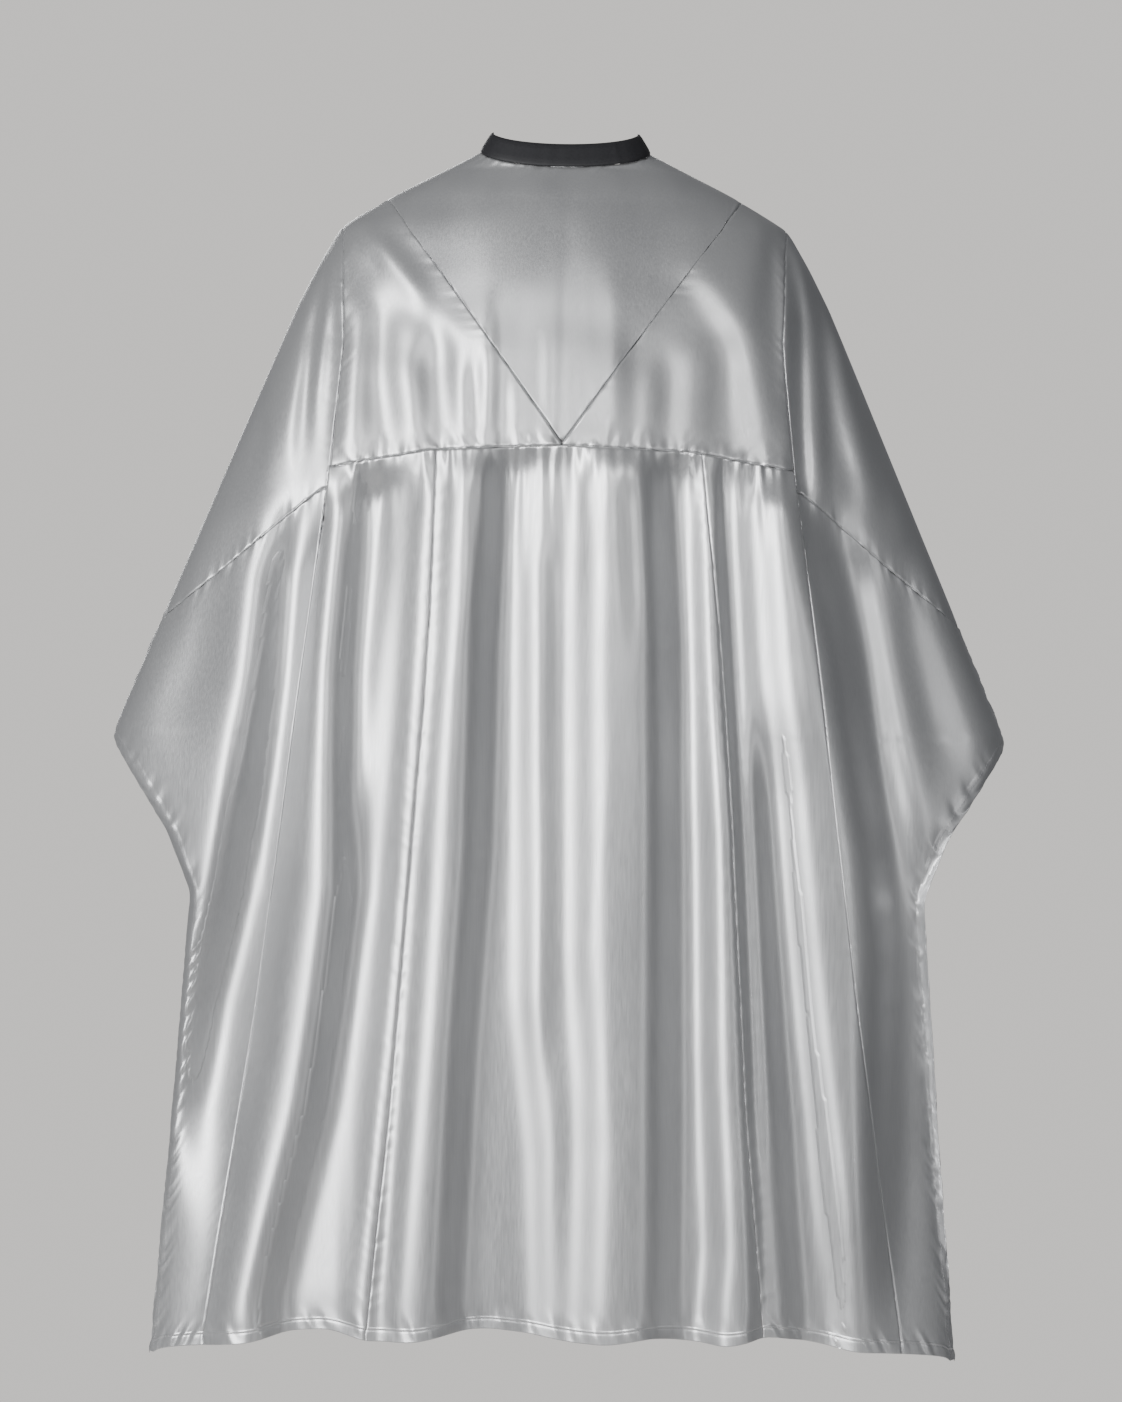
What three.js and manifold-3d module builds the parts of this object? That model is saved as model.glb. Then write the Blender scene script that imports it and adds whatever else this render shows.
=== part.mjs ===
// A barber cape: sewn satin panels hanging from a stiff neckband that snaps shut behind the neck.
// Millimetres, +Z up. The origin is the centre of the neck opening at the foot of the neckband.
// The wearer faces -Y, and "left" and "right" are as seen from the front, so left is -X.

import * as THREE from 'three';
import * as BufferGeometryUtils from 'three/addons/utils/BufferGeometryUtils.js';
import Module from 'manifold-3d';

const wasm = await Module();
wasm.setup();

// ---------------------------------------------------------------- driving dimensions

const CLOTH = 1.2; // thickness that stands in for a panel of cloth
const HEM_CLOTH = 2 * CLOTH; // a hem is folded double
const HEM_WIDTH = 13;
const SEAM_GAP = 0.6; // space left between two panels along their seam
const TAPE = SEAM_GAP / 2; // each panel stops this far short of its seam line
const SLANT_TAPE = 1.6 * TAPE; // the same across a slanted seam, measured upright
const FIT_GAP = 0.3; // space between pieces that rest on each other

const NECK_HALF_WIDTH = 83; // at the foot of the band
const NECK_FRONT_DEPTH = 63;
const NECK_BACK_DEPTH = 60;
const NECK_FRONT_DIP = 20; // how far the neckline sinks at the centre front
const NECK_BACK_DIP = 4; // and along the straight stretch behind the neck
const NECK_SIDE_RISE = 1;
const NECK_FLAT_HALF = 50; // half of the straight stretch behind the neck

const BAND_FRONT_HEIGHT = 22.5;
const BAND_SIDE_HEIGHT = 19;
const BAND_SIDE_LEAN = 12; // how far the band's top edge leans inward at the sides
const BAND_FRONT_LEAN = 10;
const BAND_CLOTH = 0.8;
const BAND_STIFFENER = 0.6;
const BAND_STIFFENER_INSET = 1.5; // the stiffener is narrower than the band on each edge

const SHOULDER_DROP = 45;
const SHOULDER_HALF_WIDTH = 175;
const ARM_DROP = 75;
const ARM_HALF_WIDTH = 223;
const ELBOW_DROP = 135; // the sleeve's outer edge curves here, and runs straight to its tip
const ELBOW_HALF_WIDTH = 257;
const FOREARM_DROP = 225;
const FOREARM_HALF_WIDTH = 295;
const TIP_DROP = 582; // lower corner of the wing-shaped sleeve
const TIP_HALF_WIDTH = 444;
const ARMHOLE_DROP = 675; // the sleeve's free edge starts to curve here
const ARMHOLE_HALF_WIDTH = 381;
const UNDERARM_DROP = 735; // where the sleeve's free edge turns down into the side edge
const UNDERARM_HALF_WIDTH = 356;
const FRONT_LENGTH = 1181;
const HEM_LIFT = 30; // how much higher the hem hangs at the centre front than at its corners
const HEM_HALF_WIDTH = 390;
const BACK_LENGTH = 570;

const CHEST_DROP = 60; // stations of the front's and the back's depth below the neck
const BREAST_DROP = 145;
const WAIST_DROP = 290;
const HIP_DROP = 500;
const THIGH_DROP = 845;

const YOKE_POINT_DROP = 297;
const YOKE_END_HALF_WIDTH = 178;
const BACK_YOKE_DROP = 150;
const CHEST_SEAM_FALL = 24; // how much lower the chest seam ends at the sleeve than at the centre
const CROSS_SEAM_DROP = 339; // sleeve cross seam where it leaves the side seam
const CROSS_SEAM_END_DROP = 470;
const BACK_OVERLAP = 15; // each back edge passes the centre line by this much

const SNAP_PITCH = 20;
const SNAP_FIRST_X = -28;
const STUD_COUNT = 4;
const CAPPED_STUDS = [1, 2];
const CAP_RADIUS = 5.5;
const CAP_DOME = 1.8;
const SOCKET_RADIUS = 5;
const SOCKET_HEIGHT = 1.5;
const STUD_FLANGE_RADIUS = 5;
const STUD_FLANGE = 0.8;
const NUB_RADIUS = 2;
const NUB_HEIGHT = 1.5;
const NUB_CHAMFER = 0.3;
const RIM_CHAMFER = 0.4;
const BARREL_INSET = 0.05; // a cap's barrel ends this far inside the tab's inner face
const POST_FLANGE_RADIUS = 4.8;
const POST_FLANGE = 0.9;
const BARREL_RADIUS = 1.6;

const UNDERLAP_REACH = 12; // the band's underlap passes its last stud by this much
const TAB_ROOT_X = -46;
const TAB_REACH = 12; // the closure tab passes its last cap by this much
const TAB_EDGE_INSET = 1;

// ---------------------------------------------------------------- derived stack of the closure

const BAND_THICKNESS = 2 * BAND_CLOTH + BAND_STIFFENER + 2 * FIT_GAP;
const SNAP_SPACE = FIT_GAP + STUD_FLANGE + FIT_GAP + SOCKET_HEIGHT + FIT_GAP;
const LAP = BAND_THICKNESS + SNAP_SPACE; // step from the underlap to the closure tab

// ---------------------------------------------------------------- colours and finishes

const finish = (color, roughness, metalness) =>
  new THREE.MeshStandardMaterial({ color, roughness, metalness });
const satin = () => finish(0xb9bcc0, 0.42, 0.15);
const black = () => finish(0x15161a, 0.7, 0);
const liner = () => finish(0xd8d8d4, 0.9, 0);
const steel = () => finish(0xc8cacc, 0.25, 0.9);

// ---------------------------------------------------------------- the draped form

// Straight-line reading of a list of [position, value] pairs.
function read(list, at) {
  let i = 1;
  while (i < list.length - 1 && at > list[i][0]) i += 1;
  const [a, va] = list[i - 1];
  const [b, vb] = list[i];
  return va + ((vb - va) * (at - a)) / (b - a);
}

// Half-width of the cape at a drop below the origin.
const OUTLINE = [
  [-NECK_SIDE_RISE, NECK_HALF_WIDTH],
  [SHOULDER_DROP, SHOULDER_HALF_WIDTH],
  [ARM_DROP, ARM_HALF_WIDTH],
  [ELBOW_DROP, ELBOW_HALF_WIDTH],
  [FOREARM_DROP, FOREARM_HALF_WIDTH],
  [TIP_DROP, TIP_HALF_WIDTH],
  [ARMHOLE_DROP, ARMHOLE_HALF_WIDTH],
  [UNDERARM_DROP, UNDERARM_HALF_WIDTH],
  [FRONT_LENGTH, HEM_HALF_WIDTH],
];
const FRONT_DEPTH = [
  [0, NECK_FRONT_DEPTH],
  [NECK_FRONT_DIP, NECK_FRONT_DEPTH],
  [CHEST_DROP, NECK_FRONT_DEPTH + 30],
  [BREAST_DROP, NECK_FRONT_DEPTH + 60],
  [WAIST_DROP, NECK_FRONT_DEPTH + 84],
  [HIP_DROP, NECK_FRONT_DEPTH + 98],
  [FRONT_LENGTH, NECK_FRONT_DEPTH + 127],
];
const BACK_DEPTH = [
  [0, NECK_BACK_DEPTH],
  [NECK_BACK_DIP, NECK_BACK_DEPTH],
  [CHEST_DROP, NECK_BACK_DEPTH + 22],
  [BACK_YOKE_DROP, NECK_BACK_DEPTH + 42],
  [WAIST_DROP, NECK_BACK_DEPTH + 52],
  [BACK_LENGTH, NECK_BACK_DEPTH + 58],
];
// Where the side line of the cape lies, front to back. Below the sleeve's tip it is the free edge
// of the front alone, which hangs well forward.
const SIDE_LINE = [
  [0, 0],
  [ARM_DROP, 0],
  [TIP_DROP, -12],
  [ARMHOLE_DROP, -105],
  [UNDERARM_DROP, -118],
  [THIGH_DROP, -112],
  [FRONT_LENGTH, -108],
];

// The right side's turn angle, just on the front and just on the back of the side line.
const FRONT_SIDE = Math.PI / 2 + 1e-6;
const BACK_SIDE = Math.PI / 2 - 1e-6;

// A point of the form. Turn 0 is the centre back, a quarter turn the right side, a half turn the
// centre front. The right half of the back runs under the left half, closer in by the lap.
function formPoint(turn, z, under) {
  const drop = -z;
  const half = read(OUTLINE, drop);
  const x = half * Math.sin(turn);
  const side = read(SIDE_LINE, drop);
  if (Math.cos(turn) < 0) {
    const depth = read(FRONT_DEPTH, Math.max(drop, 0)) + side;
    return new THREE.Vector3(x, side - TAPE + depth * Math.cos(turn), z);
  }
  const flat = NECK_FLAT_HALF * Math.max(0, 1 - Math.max(drop, 0) / BACK_YOKE_DROP);
  const q = Math.min(1, Math.max(0, Math.abs(x) - flat) / (half - flat));
  const depth = read(BACK_DEPTH, Math.max(drop, 0)) - (under ? LAP : 0);
  return new THREE.Vector3(x, side + TAPE + depth * Math.sqrt(1 - q * q), z);
}

function formNormal(turn, z, under) {
  const across = formPoint(turn + 0.01, z, under).sub(formPoint(turn - 0.01, z, under));
  const down = formPoint(turn, z - 1, under).sub(formPoint(turn, z + 1, under));
  const normal = across.cross(down).normalize();
  const inside = new THREE.Vector3(0, 40, z - 150);
  const outward = formPoint(turn, z, under).sub(inside);
  return normal.dot(outward) < 0 ? normal.negate() : normal;
}

// Turn angle of a point at the signed distance x from the centre line, on the front or the back.
function frontTurn(x, z) {
  const turn = Math.asin(Math.max(-1, Math.min(1, x / read(OUTLINE, -z))));
  return Math.PI - Math.max(FRONT_SIDE - Math.PI, Math.min(Math.PI - FRONT_SIDE, turn));
}
function backTurn(x, z) {
  const turn = Math.asin(Math.max(-1, Math.min(1, x / read(OUTLINE, -z))));
  return Math.max(-BACK_SIDE, Math.min(BACK_SIDE, turn));
}

// ---------------------------------------------------------------- solids from grids

// A closed solid between an outer and an inner grid of points. Corners that meet are merged and
// the triangles that vanish there are dropped.
function solidBetween(outer, inner) {
  const rows = outer.length;
  const columns = outer[0].length;
  const points = [];
  const known = new Map();
  const idOf = (p) => {
    const key = `${p.x.toFixed(3)},${p.y.toFixed(3)},${p.z.toFixed(3)}`;
    if (!known.has(key)) {
      known.set(key, points.length / 3);
      points.push(p.x, p.y, p.z);
    }
    return known.get(key);
  };
  const triangles = [];
  const triangle = (a, b, c) => {
    if (a !== b && b !== c && a !== c) triangles.push(a, b, c);
  };
  const quad = (a, b, c, d) => {
    const [ia, ib, ic, id] = [a, b, c, d].map(idOf);
    triangle(ia, ib, ic);
    triangle(ia, ic, id);
  };
  for (let r = 0; r < rows - 1; r += 1) {
    for (let c = 0; c < columns - 1; c += 1) {
      quad(outer[r][c], outer[r + 1][c], outer[r + 1][c + 1], outer[r][c + 1]);
      quad(inner[r][c], inner[r][c + 1], inner[r + 1][c + 1], inner[r + 1][c]);
    }
    quad(outer[r][0], inner[r][0], inner[r + 1][0], outer[r + 1][0]);
    const e = columns - 1;
    quad(outer[r][e], outer[r + 1][e], inner[r + 1][e], inner[r][e]);
  }
  const last = rows - 1;
  for (let c = 0; c < columns - 1; c += 1) {
    quad(outer[0][c], outer[0][c + 1], inner[0][c + 1], inner[0][c]);
    quad(outer[last][c], inner[last][c], inner[last][c + 1], outer[last][c + 1]);
  }
  const geometry = new THREE.BufferGeometry();
  geometry.setAttribute('position', new THREE.Float32BufferAttribute(points, 3));
  geometry.setIndex(facingOut(points, triangles));
  return geometry;
}

function facingOut(points, triangles) {
  let volume = 0;
  const a = new THREE.Vector3();
  const b = new THREE.Vector3();
  const c = new THREE.Vector3();
  for (let i = 0; i < triangles.length; i += 3) {
    a.fromArray(points, 3 * triangles[i]);
    b.fromArray(points, 3 * triangles[i + 1]);
    c.fromArray(points, 3 * triangles[i + 2]);
    volume += a.dot(b.cross(c));
  }
  return volume < 0 ? triangles.slice().reverse() : triangles;
}

const cape = new THREE.Group();

function addMesh(name, geometry, material) {
  const mesh = new THREE.Mesh(geometry, material);
  mesh.name = name;
  cape.add(mesh);
  return mesh;
}

// Even steps from 0 to 1, with any extra stations put in.
function steps(count, extra = []) {
  const even = Array.from({ length: count + 1 }, (_, i) => i / count);
  const close = (t) => extra.some((e) => Math.abs(e - t) < 0.4 / count && t > 0 && t < 1);
  return [...even.filter((t) => !close(t)), ...extra].sort((a, b) => a - b);
}

// A panel of cloth. Its four edges are functions of 0..1 that give [turn, z]: start and end run
// down the panel, top and bottom across it. hemAt says how thick the cloth is at a grid point.
function panel(name, edges, across, down, under = false, thicknessAt = () => CLOTH) {
  const { start, end, top, bottom } = edges;
  const corner = [top(0), top(1), bottom(0), bottom(1)];
  const blend = (s, t, k) => {
    const sides = (1 - s) * start(t)[k] + s * end(t)[k];
    const caps = (1 - t) * top(s)[k] + t * bottom(s)[k];
    const upper = (1 - s) * corner[0][k] + s * corner[1][k];
    const lower = (1 - s) * corner[2][k] + s * corner[3][k];
    return sides + caps - (1 - t) * upper - t * lower;
  };
  const outer = [];
  const inner = [];
  for (const t of down) {
    const outerRow = [];
    const innerRow = [];
    for (const s of across) {
      const turn = blend(s, t, 0);
      const z = blend(s, t, 1);
      const point = formPoint(turn, z, under);
      const normal = formNormal(turn, z, under);
      outerRow.push(point);
      innerRow.push(point.clone().addScaledVector(normal, -thicknessAt(s, t)));
    }
    outer.push(outerRow);
    inner.push(innerRow);
  }
  return addMesh(name, solidBetween(outer, inner), satin());
}

// ---------------------------------------------------------------- seam lines

// Height of the neckline at a turn angle.
function necklineZ(turn) {
  const square = Math.cos(turn) ** 2;
  if (Math.cos(turn) < 0) return NECK_SIDE_RISE - (NECK_SIDE_RISE + NECK_FRONT_DIP) * square;
  const level = 1 - (NECK_FLAT_HALF / NECK_HALF_WIDTH) ** 2;
  return NECK_SIDE_RISE - (NECK_SIDE_RISE + NECK_BACK_DIP) * Math.min(1, square / level);
}

const CHEST_SEAM = [
  [0, YOKE_POINT_DROP + 2],
  [126, YOKE_POINT_DROP + 7],
  [ARM_HALF_WIDTH + 5, YOKE_POINT_DROP + CHEST_SEAM_FALL],
];
const CHEST_SEAM_END = read(CHEST_SEAM, ARM_HALF_WIDTH + 3);

// Height of the front's hem at the distance x from the centre line.
function hemZ(x) {
  const share = Math.min(1, Math.abs(x) / HEM_HALF_WIDTH);
  return HEM_LIFT * Math.sqrt(1 - share * share) - FRONT_LENGTH;
}

const SEAM_WAIST_DROP = 200; // where the side seam comes closest to the centre line
const SEAM_HIP_DROP = 545;
// Distance from the centre line of the seam that runs from the shoulder to the hem.
const SIDE_SEAM = [
  [ARM_DROP, ARM_HALF_WIDTH - 3],
  [SEAM_WAIST_DROP, ARM_HALF_WIDTH - 8],
  [CHEST_SEAM_END, ARM_HALF_WIDTH + 3],
  [SEAM_HIP_DROP, ARM_HALF_WIDTH + 31],
  [THIGH_DROP, ARM_HALF_WIDTH + 68],
  [FRONT_LENGTH, HEM_HALF_WIDTH - 50],
];
const SIDE_SEAM_BENDS = [SEAM_HIP_DROP, ARMHOLE_DROP, UNDERARM_DROP, THIGH_DROP];
const PANEL_HIP_DROP = 645;
const PANEL_KNEE_DROP = 941;
// Distance of the seam between the centre panel and the side front panel.
const PANEL_SEAM = [
  [YOKE_POINT_DROP, 128],
  [PANEL_HIP_DROP, 152],
  [PANEL_KNEE_DROP, 171],
  [FRONT_LENGTH, 193],
];

// The arc of the sleeve's cross seam, from the side seam out to the silhouette.
function crossSeam(s, shift) {
  const startX = read(SIDE_SEAM, CROSS_SEAM_DROP) + TAPE;
  const endX = read(OUTLINE, CROSS_SEAM_END_DROP);
  const x = startX + (endX - startX) * s;
  const sag = 8 * Math.sin(Math.PI * s);
  const drop = CROSS_SEAM_DROP + (CROSS_SEAM_END_DROP - CROSS_SEAM_DROP) * s ** 1.15 + sag + shift;
  return [s === 1 ? FRONT_SIDE : frontTurn(x, -drop), -drop];
}

const mirrorEdges = (edges) =>
  Object.fromEntries(
    Object.entries(edges).map(([key, edge]) => [key, (t) => [-edge(t)[0], edge(t)[1]]]),
  );

const sides = [
  { name: 'right', mirror: (edges) => edges, under: true },
  { name: 'left', mirror: mirrorEdges, under: false },
];

const lerp = (a, b, t) => a + (b - a) * t;

// A hem is folded double along the last rows of a panel.
const hemRow = (length) => 1 - HEM_WIDTH / length;
const hemThickness = (length) => (s, t) => (t >= hemRow(length) - 1e-6 ? HEM_CLOTH : CLOTH);

// ---------------------------------------------------------------- front

function frontYoke() {
  const seamPoint = (x) => {
    const share = Math.abs(x) / YOKE_END_HALF_WIDTH;
    const endDrop = yokeEndDrop();
    return -(YOKE_POINT_DROP + (endDrop - YOKE_POINT_DROP) * share) + SLANT_TAPE;
  };
  const edge = (sign) => (t) => {
    const turn = Math.PI - sign * (Math.PI - FRONT_SIDE);
    return [turn, lerp(NECK_SIDE_RISE, -yokeEndDrop() + SLANT_TAPE, t)];
  };
  const x = (s) => lerp(-YOKE_END_HALF_WIDTH, YOKE_END_HALF_WIDTH, s);
  const edges = {
    start: edge(-1),
    end: edge(1),
    top: (s) => {
      const turn = lerp(2 * Math.PI - FRONT_SIDE, FRONT_SIDE, s);
      return [turn, necklineZ(turn)];
    },
    bottom: (s) => {
      if (s === 0 || s === 1) return edge(s === 0 ? -1 : 1)(1);
      return [frontTurn(x(s), seamPoint(x(s))), seamPoint(x(s))];
    },
  };
  panel('front_yoke', edges, steps(20), steps(9));
}

// Drop at which the silhouette is as wide as the yoke's end.
function yokeEndDrop() {
  const share = (YOKE_END_HALF_WIDTH - SHOULDER_HALF_WIDTH) / (ARM_HALF_WIDTH - SHOULDER_HALF_WIDTH);
  return SHOULDER_DROP + share * (ARM_DROP - SHOULDER_DROP);
}

function upperFront(side) {
  const vSeam = (t) => {
    const x = lerp(YOKE_END_HALF_WIDTH, SEAM_GAP, t);
    const z = -lerp(yokeEndDrop(), YOKE_POINT_DROP, t) - SLANT_TAPE;
    return [t === 0 ? FRONT_SIDE : frontTurn(x, z), z];
  };
  const seamTop = ARM_DROP - 2 * TAPE;
  const seamEnd = CHEST_SEAM_END - TAPE;
  const edges = {
    start: vSeam,
    end: (t) => {
      const z = -lerp(seamTop, seamEnd, t);
      return [t === 0 ? FRONT_SIDE : frontTurn(read(SIDE_SEAM, -z) - TAPE, z), z];
    },
    top: (s) => [FRONT_SIDE, -lerp(yokeEndDrop() + SLANT_TAPE, seamTop, s)],
    bottom: (s) => {
      const endX = read(SIDE_SEAM, seamEnd) - TAPE;
      const x = lerp(SEAM_GAP, endX, s);
      const z = s === 0 ? vSeam(1)[1] : -read(CHEST_SEAM, x) + TAPE;
      return [frontTurn(x, z), z];
    },
  };
  panel(`upper_front_${side.name}`, side.mirror(edges), steps(9), steps(10));
}

function upperSleeve(side) {
  const topDrop = ARM_DROP + 2 * TAPE;
  const endDrop = CROSS_SEAM_DROP - TAPE;
  const edges = {
    start: (t) => {
      const z = -lerp(topDrop, endDrop, t);
      return [t === 0 ? FRONT_SIDE : frontTurn(read(SIDE_SEAM, -z) + TAPE, z), z];
    },
    end: (t) => [FRONT_SIDE, -lerp(topDrop, CROSS_SEAM_END_DROP - TAPE, t)],
    top: () => [FRONT_SIDE, -topDrop],
    bottom: (s) => crossSeam(s, -TAPE),
  };
  panel(`upper_sleeve_${side.name}`, side.mirror(edges), steps(7), steps(10));
}

function sidePanel(side) {
  const outerTop = CROSS_SEAM_END_DROP + TAPE;
  const share = (drop) => (drop - outerTop) / (FRONT_LENGTH - outerTop);
  const hemTop = FRONT_LENGTH - HEM_WIDTH;
  const corners = [TIP_DROP, ARMHOLE_DROP, UNDERARM_DROP, hemTop].map(share);
  const hemStart = share(hemTop);
  const innerTop = CROSS_SEAM_DROP + TAPE;
  const startX = read(SIDE_SEAM, FRONT_LENGTH - HEM_LIFT / 2) + TAPE;
  const innerEnd = -hemZ(startX);
  const edges = {
    start: (t) => {
      const z = -lerp(innerTop, innerEnd, t);
      return [frontTurn(t === 1 ? startX : read(SIDE_SEAM, -z) + TAPE, z), z];
    },
    end: (t) => [FRONT_SIDE, -lerp(outerTop, FRONT_LENGTH, t)],
    top: (s) => crossSeam(s, TAPE),
    bottom: (s) => {
      if (s === 1) return [FRONT_SIDE, -FRONT_LENGTH];
      const x = lerp(startX, HEM_HALF_WIDTH, s);
      return [frontTurn(x, hemZ(x)), hemZ(x)];
    },
  };
  const bends = SIDE_SEAM_BENDS.map((drop) => (drop - innerTop) / (innerEnd - innerTop));
  const rows = steps(12, [...corners, ...bends]);
  const thickness = (s, t) => (t >= hemStart - 1e-6 ? HEM_CLOTH : CLOTH);
  panel(`side_panel_${side.name}`, side.mirror(edges), steps(7), rows, false, thickness);
}

// A lower front panel between two seams, gathered into the chest seam at its top.
function lowerFront(name, leftX, rightX, across) {
  const topZ = (x) => -read(CHEST_SEAM, Math.abs(x)) - TAPE;
  const topDrop = YOKE_POINT_DROP + 10;
  const lowDrop = FRONT_LENGTH - HEM_LIFT / 2;
  const down = (xAt) => (t) => {
    const endX = xAt(lowDrop);
    const z = lerp(topZ(xAt(topDrop)), hemZ(endX), t);
    return [frontTurn(t === 1 ? endX : xAt(-z), z), z];
  };
  const row = (zOf, drop) => (s) => {
    const x = lerp(leftX(drop), rightX(drop), s);
    return [frontTurn(x, zOf(x)), zOf(x)];
  };
  const edges = {
    start: down(leftX),
    end: down(rightX),
    top: (s) => {
      if (s === 0) return down(leftX)(0);
      if (s === 1) return down(rightX)(0);
      return row(topZ, topDrop)(s);
    },
    bottom: row(hemZ, lowDrop),
  };
  const span = FRONT_LENGTH - HEM_LIFT - topDrop;
  const hemEnd = -hemZ(read(SIDE_SEAM, lowDrop));
  const bends = SIDE_SEAM_BENDS.map((drop) => (drop - CHEST_SEAM_END) / (hemEnd - CHEST_SEAM_END));
  const rows = steps(12, [...bends, hemRow(span)]);
  panel(name, edges, steps(across), rows, false, hemThickness(span));
}

// ---------------------------------------------------------------- back

// The back body and the back sleeve meet on one seam, from the shoulder down, on the same rows.
const BACK_SEAM_TOP = ARM_DROP + 6 * TAPE;
const backSeamX = (drop) => lerp(ARM_HALF_WIDTH - 3, ARM_HALF_WIDTH + 30, (drop - ARM_DROP) / BACK_LENGTH);
const backSpan = BACK_LENGTH - BACK_SEAM_TOP;
const backRows = () => {
  const bends = [BACK_YOKE_DROP, WAIST_DROP].map((drop) => (drop - BACK_SEAM_TOP) / backSpan);
  return steps(8, [0.03, 0.07, ...bends, hemRow(backSpan)]);
};

// The back yoke's seam is level behind the neck and sweeps up to the shoulder.
const BACK_COLUMNS = 9;
const backSeamStart = -BACK_OVERLAP;
const backSeamEnd = backSeamX(BACK_SEAM_TOP) - TAPE;
function backYokeSeam(x, shift) {
  const share = Math.min(1, (x - backSeamStart) / (backSeamEnd - backSeamStart));
  return -lerp(BACK_YOKE_DROP, ARM_DROP, share ** 3) + shift;
}

function backYoke(side) {
  const last = BACK_COLUMNS / (BACK_COLUMNS + 1);
  const sideX = read(OUTLINE, ARM_DROP);
  const acrossX = (s) => {
    if (s <= last + 1e-6) return lerp(backSeamStart, backSeamEnd, s / last);
    return lerp(backSeamEnd, sideX, (s - last) / (1 - last));
  };
  const lowest = backYokeSeam(sideX, 2 * TAPE);
  const edges = {
    start: (t) => {
      const z = lerp(necklineZ(0), -BACK_YOKE_DROP + TAPE, t);
      return [backTurn(backSeamStart, z), z];
    },
    end: (t) => [BACK_SIDE, lerp(NECK_SIDE_RISE, lowest, t)],
    top: (s) => {
      const turn = lerp(backTurn(backSeamStart, 0), BACK_SIDE, s);
      return [turn, s === 0 ? necklineZ(0) : necklineZ(turn)];
    },
    bottom: (s) => {
      const x = acrossX(s);
      const z = s === 1 ? lowest : backYokeSeam(x, TAPE);
      return [s === 1 ? BACK_SIDE : backTurn(x, z), z];
    },
  };
  panel(`back_yoke_${side.name}`, side.mirror(edges), steps(BACK_COLUMNS + 1), steps(6), side.under);
}

function backBody(side) {
  const x0 = backSeamStart;
  const endX = (drop) => backSeamX(drop) - TAPE;
  const edges = {
    start: (t) => {
      const z = lerp(-BACK_YOKE_DROP - TAPE, -BACK_LENGTH, t);
      return [backTurn(x0, z), z];
    },
    end: (t) => {
      const z = -lerp(BACK_SEAM_TOP, BACK_LENGTH, t);
      return [backTurn(endX(-z), z), z];
    },
    top: (s) => {
      if (s === 1) return edges.end(0);
      const x = lerp(x0, backSeamEnd, s);
      const z = backYokeSeam(x, -TAPE - 2 * TAPE * s ** 3);
      return [backTurn(x, z), z];
    },
    bottom: (s) => [backTurn(lerp(x0, endX(BACK_LENGTH), s), -BACK_LENGTH), -BACK_LENGTH],
  };
  const thickness = hemThickness(backSpan);
  const across = steps(BACK_COLUMNS);
  panel(`back_body_${side.name}`, side.mirror(edges), across, backRows(), side.under, thickness);
}

function backSleeve(side) {
  const edges = {
    start: (t) => {
      const z = -lerp(BACK_SEAM_TOP, BACK_LENGTH, t);
      return [t === 0 ? BACK_SIDE : backTurn(backSeamX(-z) + TAPE, z), z];
    },
    end: (t) => [BACK_SIDE, -lerp(BACK_SEAM_TOP, BACK_LENGTH, t)],
    top: () => [BACK_SIDE, -BACK_SEAM_TOP],
    bottom: (s) => {
      const startX = backSeamX(BACK_LENGTH) + TAPE;
      const x = lerp(startX, read(OUTLINE, BACK_LENGTH), s);
      return [s === 1 ? BACK_SIDE : backTurn(x, -BACK_LENGTH), -BACK_LENGTH];
    },
  };
  const thickness = hemThickness(backSpan);
  panel(`back_sleeve_${side.name}`, side.mirror(edges), steps(6), backRows(), side.under, thickness);
}

// ---------------------------------------------------------------- neckband

// Inner face of the band at a turn: its foot and its top edge. The turn may pass a full circle,
// and the stretch that starts at the centre back is the underlap.
function bandSection(turn, under) {
  const footZ = necklineZ(turn) + FIT_GAP;
  const foot = formPoint(turn, necklineZ(turn), under);
  foot.z = footZ;
  const c = Math.cos(turn);
  const s = Math.sin(turn);
  const front = Math.max(0, -c);
  const lean = c < 0 ? 1 : Math.max(0, Math.abs(s) - 0.6) / 0.4;
  const height = lerp(BAND_SIDE_HEIGHT, BAND_FRONT_HEIGHT, c * c);
  const crest = foot.clone();
  crest.x -= BAND_SIDE_LEAN * s * lean;
  crest.y += BAND_FRONT_LEAN * front;
  crest.z += height;
  return { foot, crest };
}

function bandLayer(offset, thickness, inset) {
  const startX = SNAP_FIRST_X - UNDERLAP_REACH;
  const startTurn = backTurn(startX, -NECK_BACK_DIP);
  const endTurn = 2 * Math.PI + backTurn(TAB_ROOT_X - FIT_GAP, -NECK_BACK_DIP);
  const count = 56;
  const sections = [];
  for (let i = 0; i <= count; i += 1) {
    const turn = lerp(startTurn, endTurn, i / count);
    const under = turn < Math.PI;
    const { foot, crest } = bandSection(turn, under);
    const ahead = bandSection(turn + 0.02, under).foot;
    const behind = bandSection(turn - 0.02, under).foot;
    const along = ahead.sub(behind).setZ(0).normalize();
    const up = crest.clone().sub(foot).normalize();
    const out = along.clone().cross(up).normalize();
    if (out.dot(foot.clone().setZ(0)) < 0) out.negate();
    sections.push({ foot: foot.addScaledVector(up, inset), crest: crest.addScaledVector(up, -inset), out });
  }
  const face = (shift) => [
    sections.map((p) => p.foot.clone().addScaledVector(p.out, shift)),
    sections.map((p) => p.crest.clone().addScaledVector(p.out, shift)),
  ];
  return solidBetween(face(offset + thickness), face(offset));
}

const toSolid = (geometry) => {
  const bare = geometry.clone();
  bare.deleteAttribute('normal');
  bare.deleteAttribute('uv');
  const merged = BufferGeometryUtils.mergeVertices(bare, 1e-4);
  return new wasm.Manifold(
    new wasm.Mesh({
      numProp: 3,
      vertProperties: new Float32Array(merged.attributes.position.array),
      triVerts: new Uint32Array(merged.index.array),
    }),
  );
};

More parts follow.
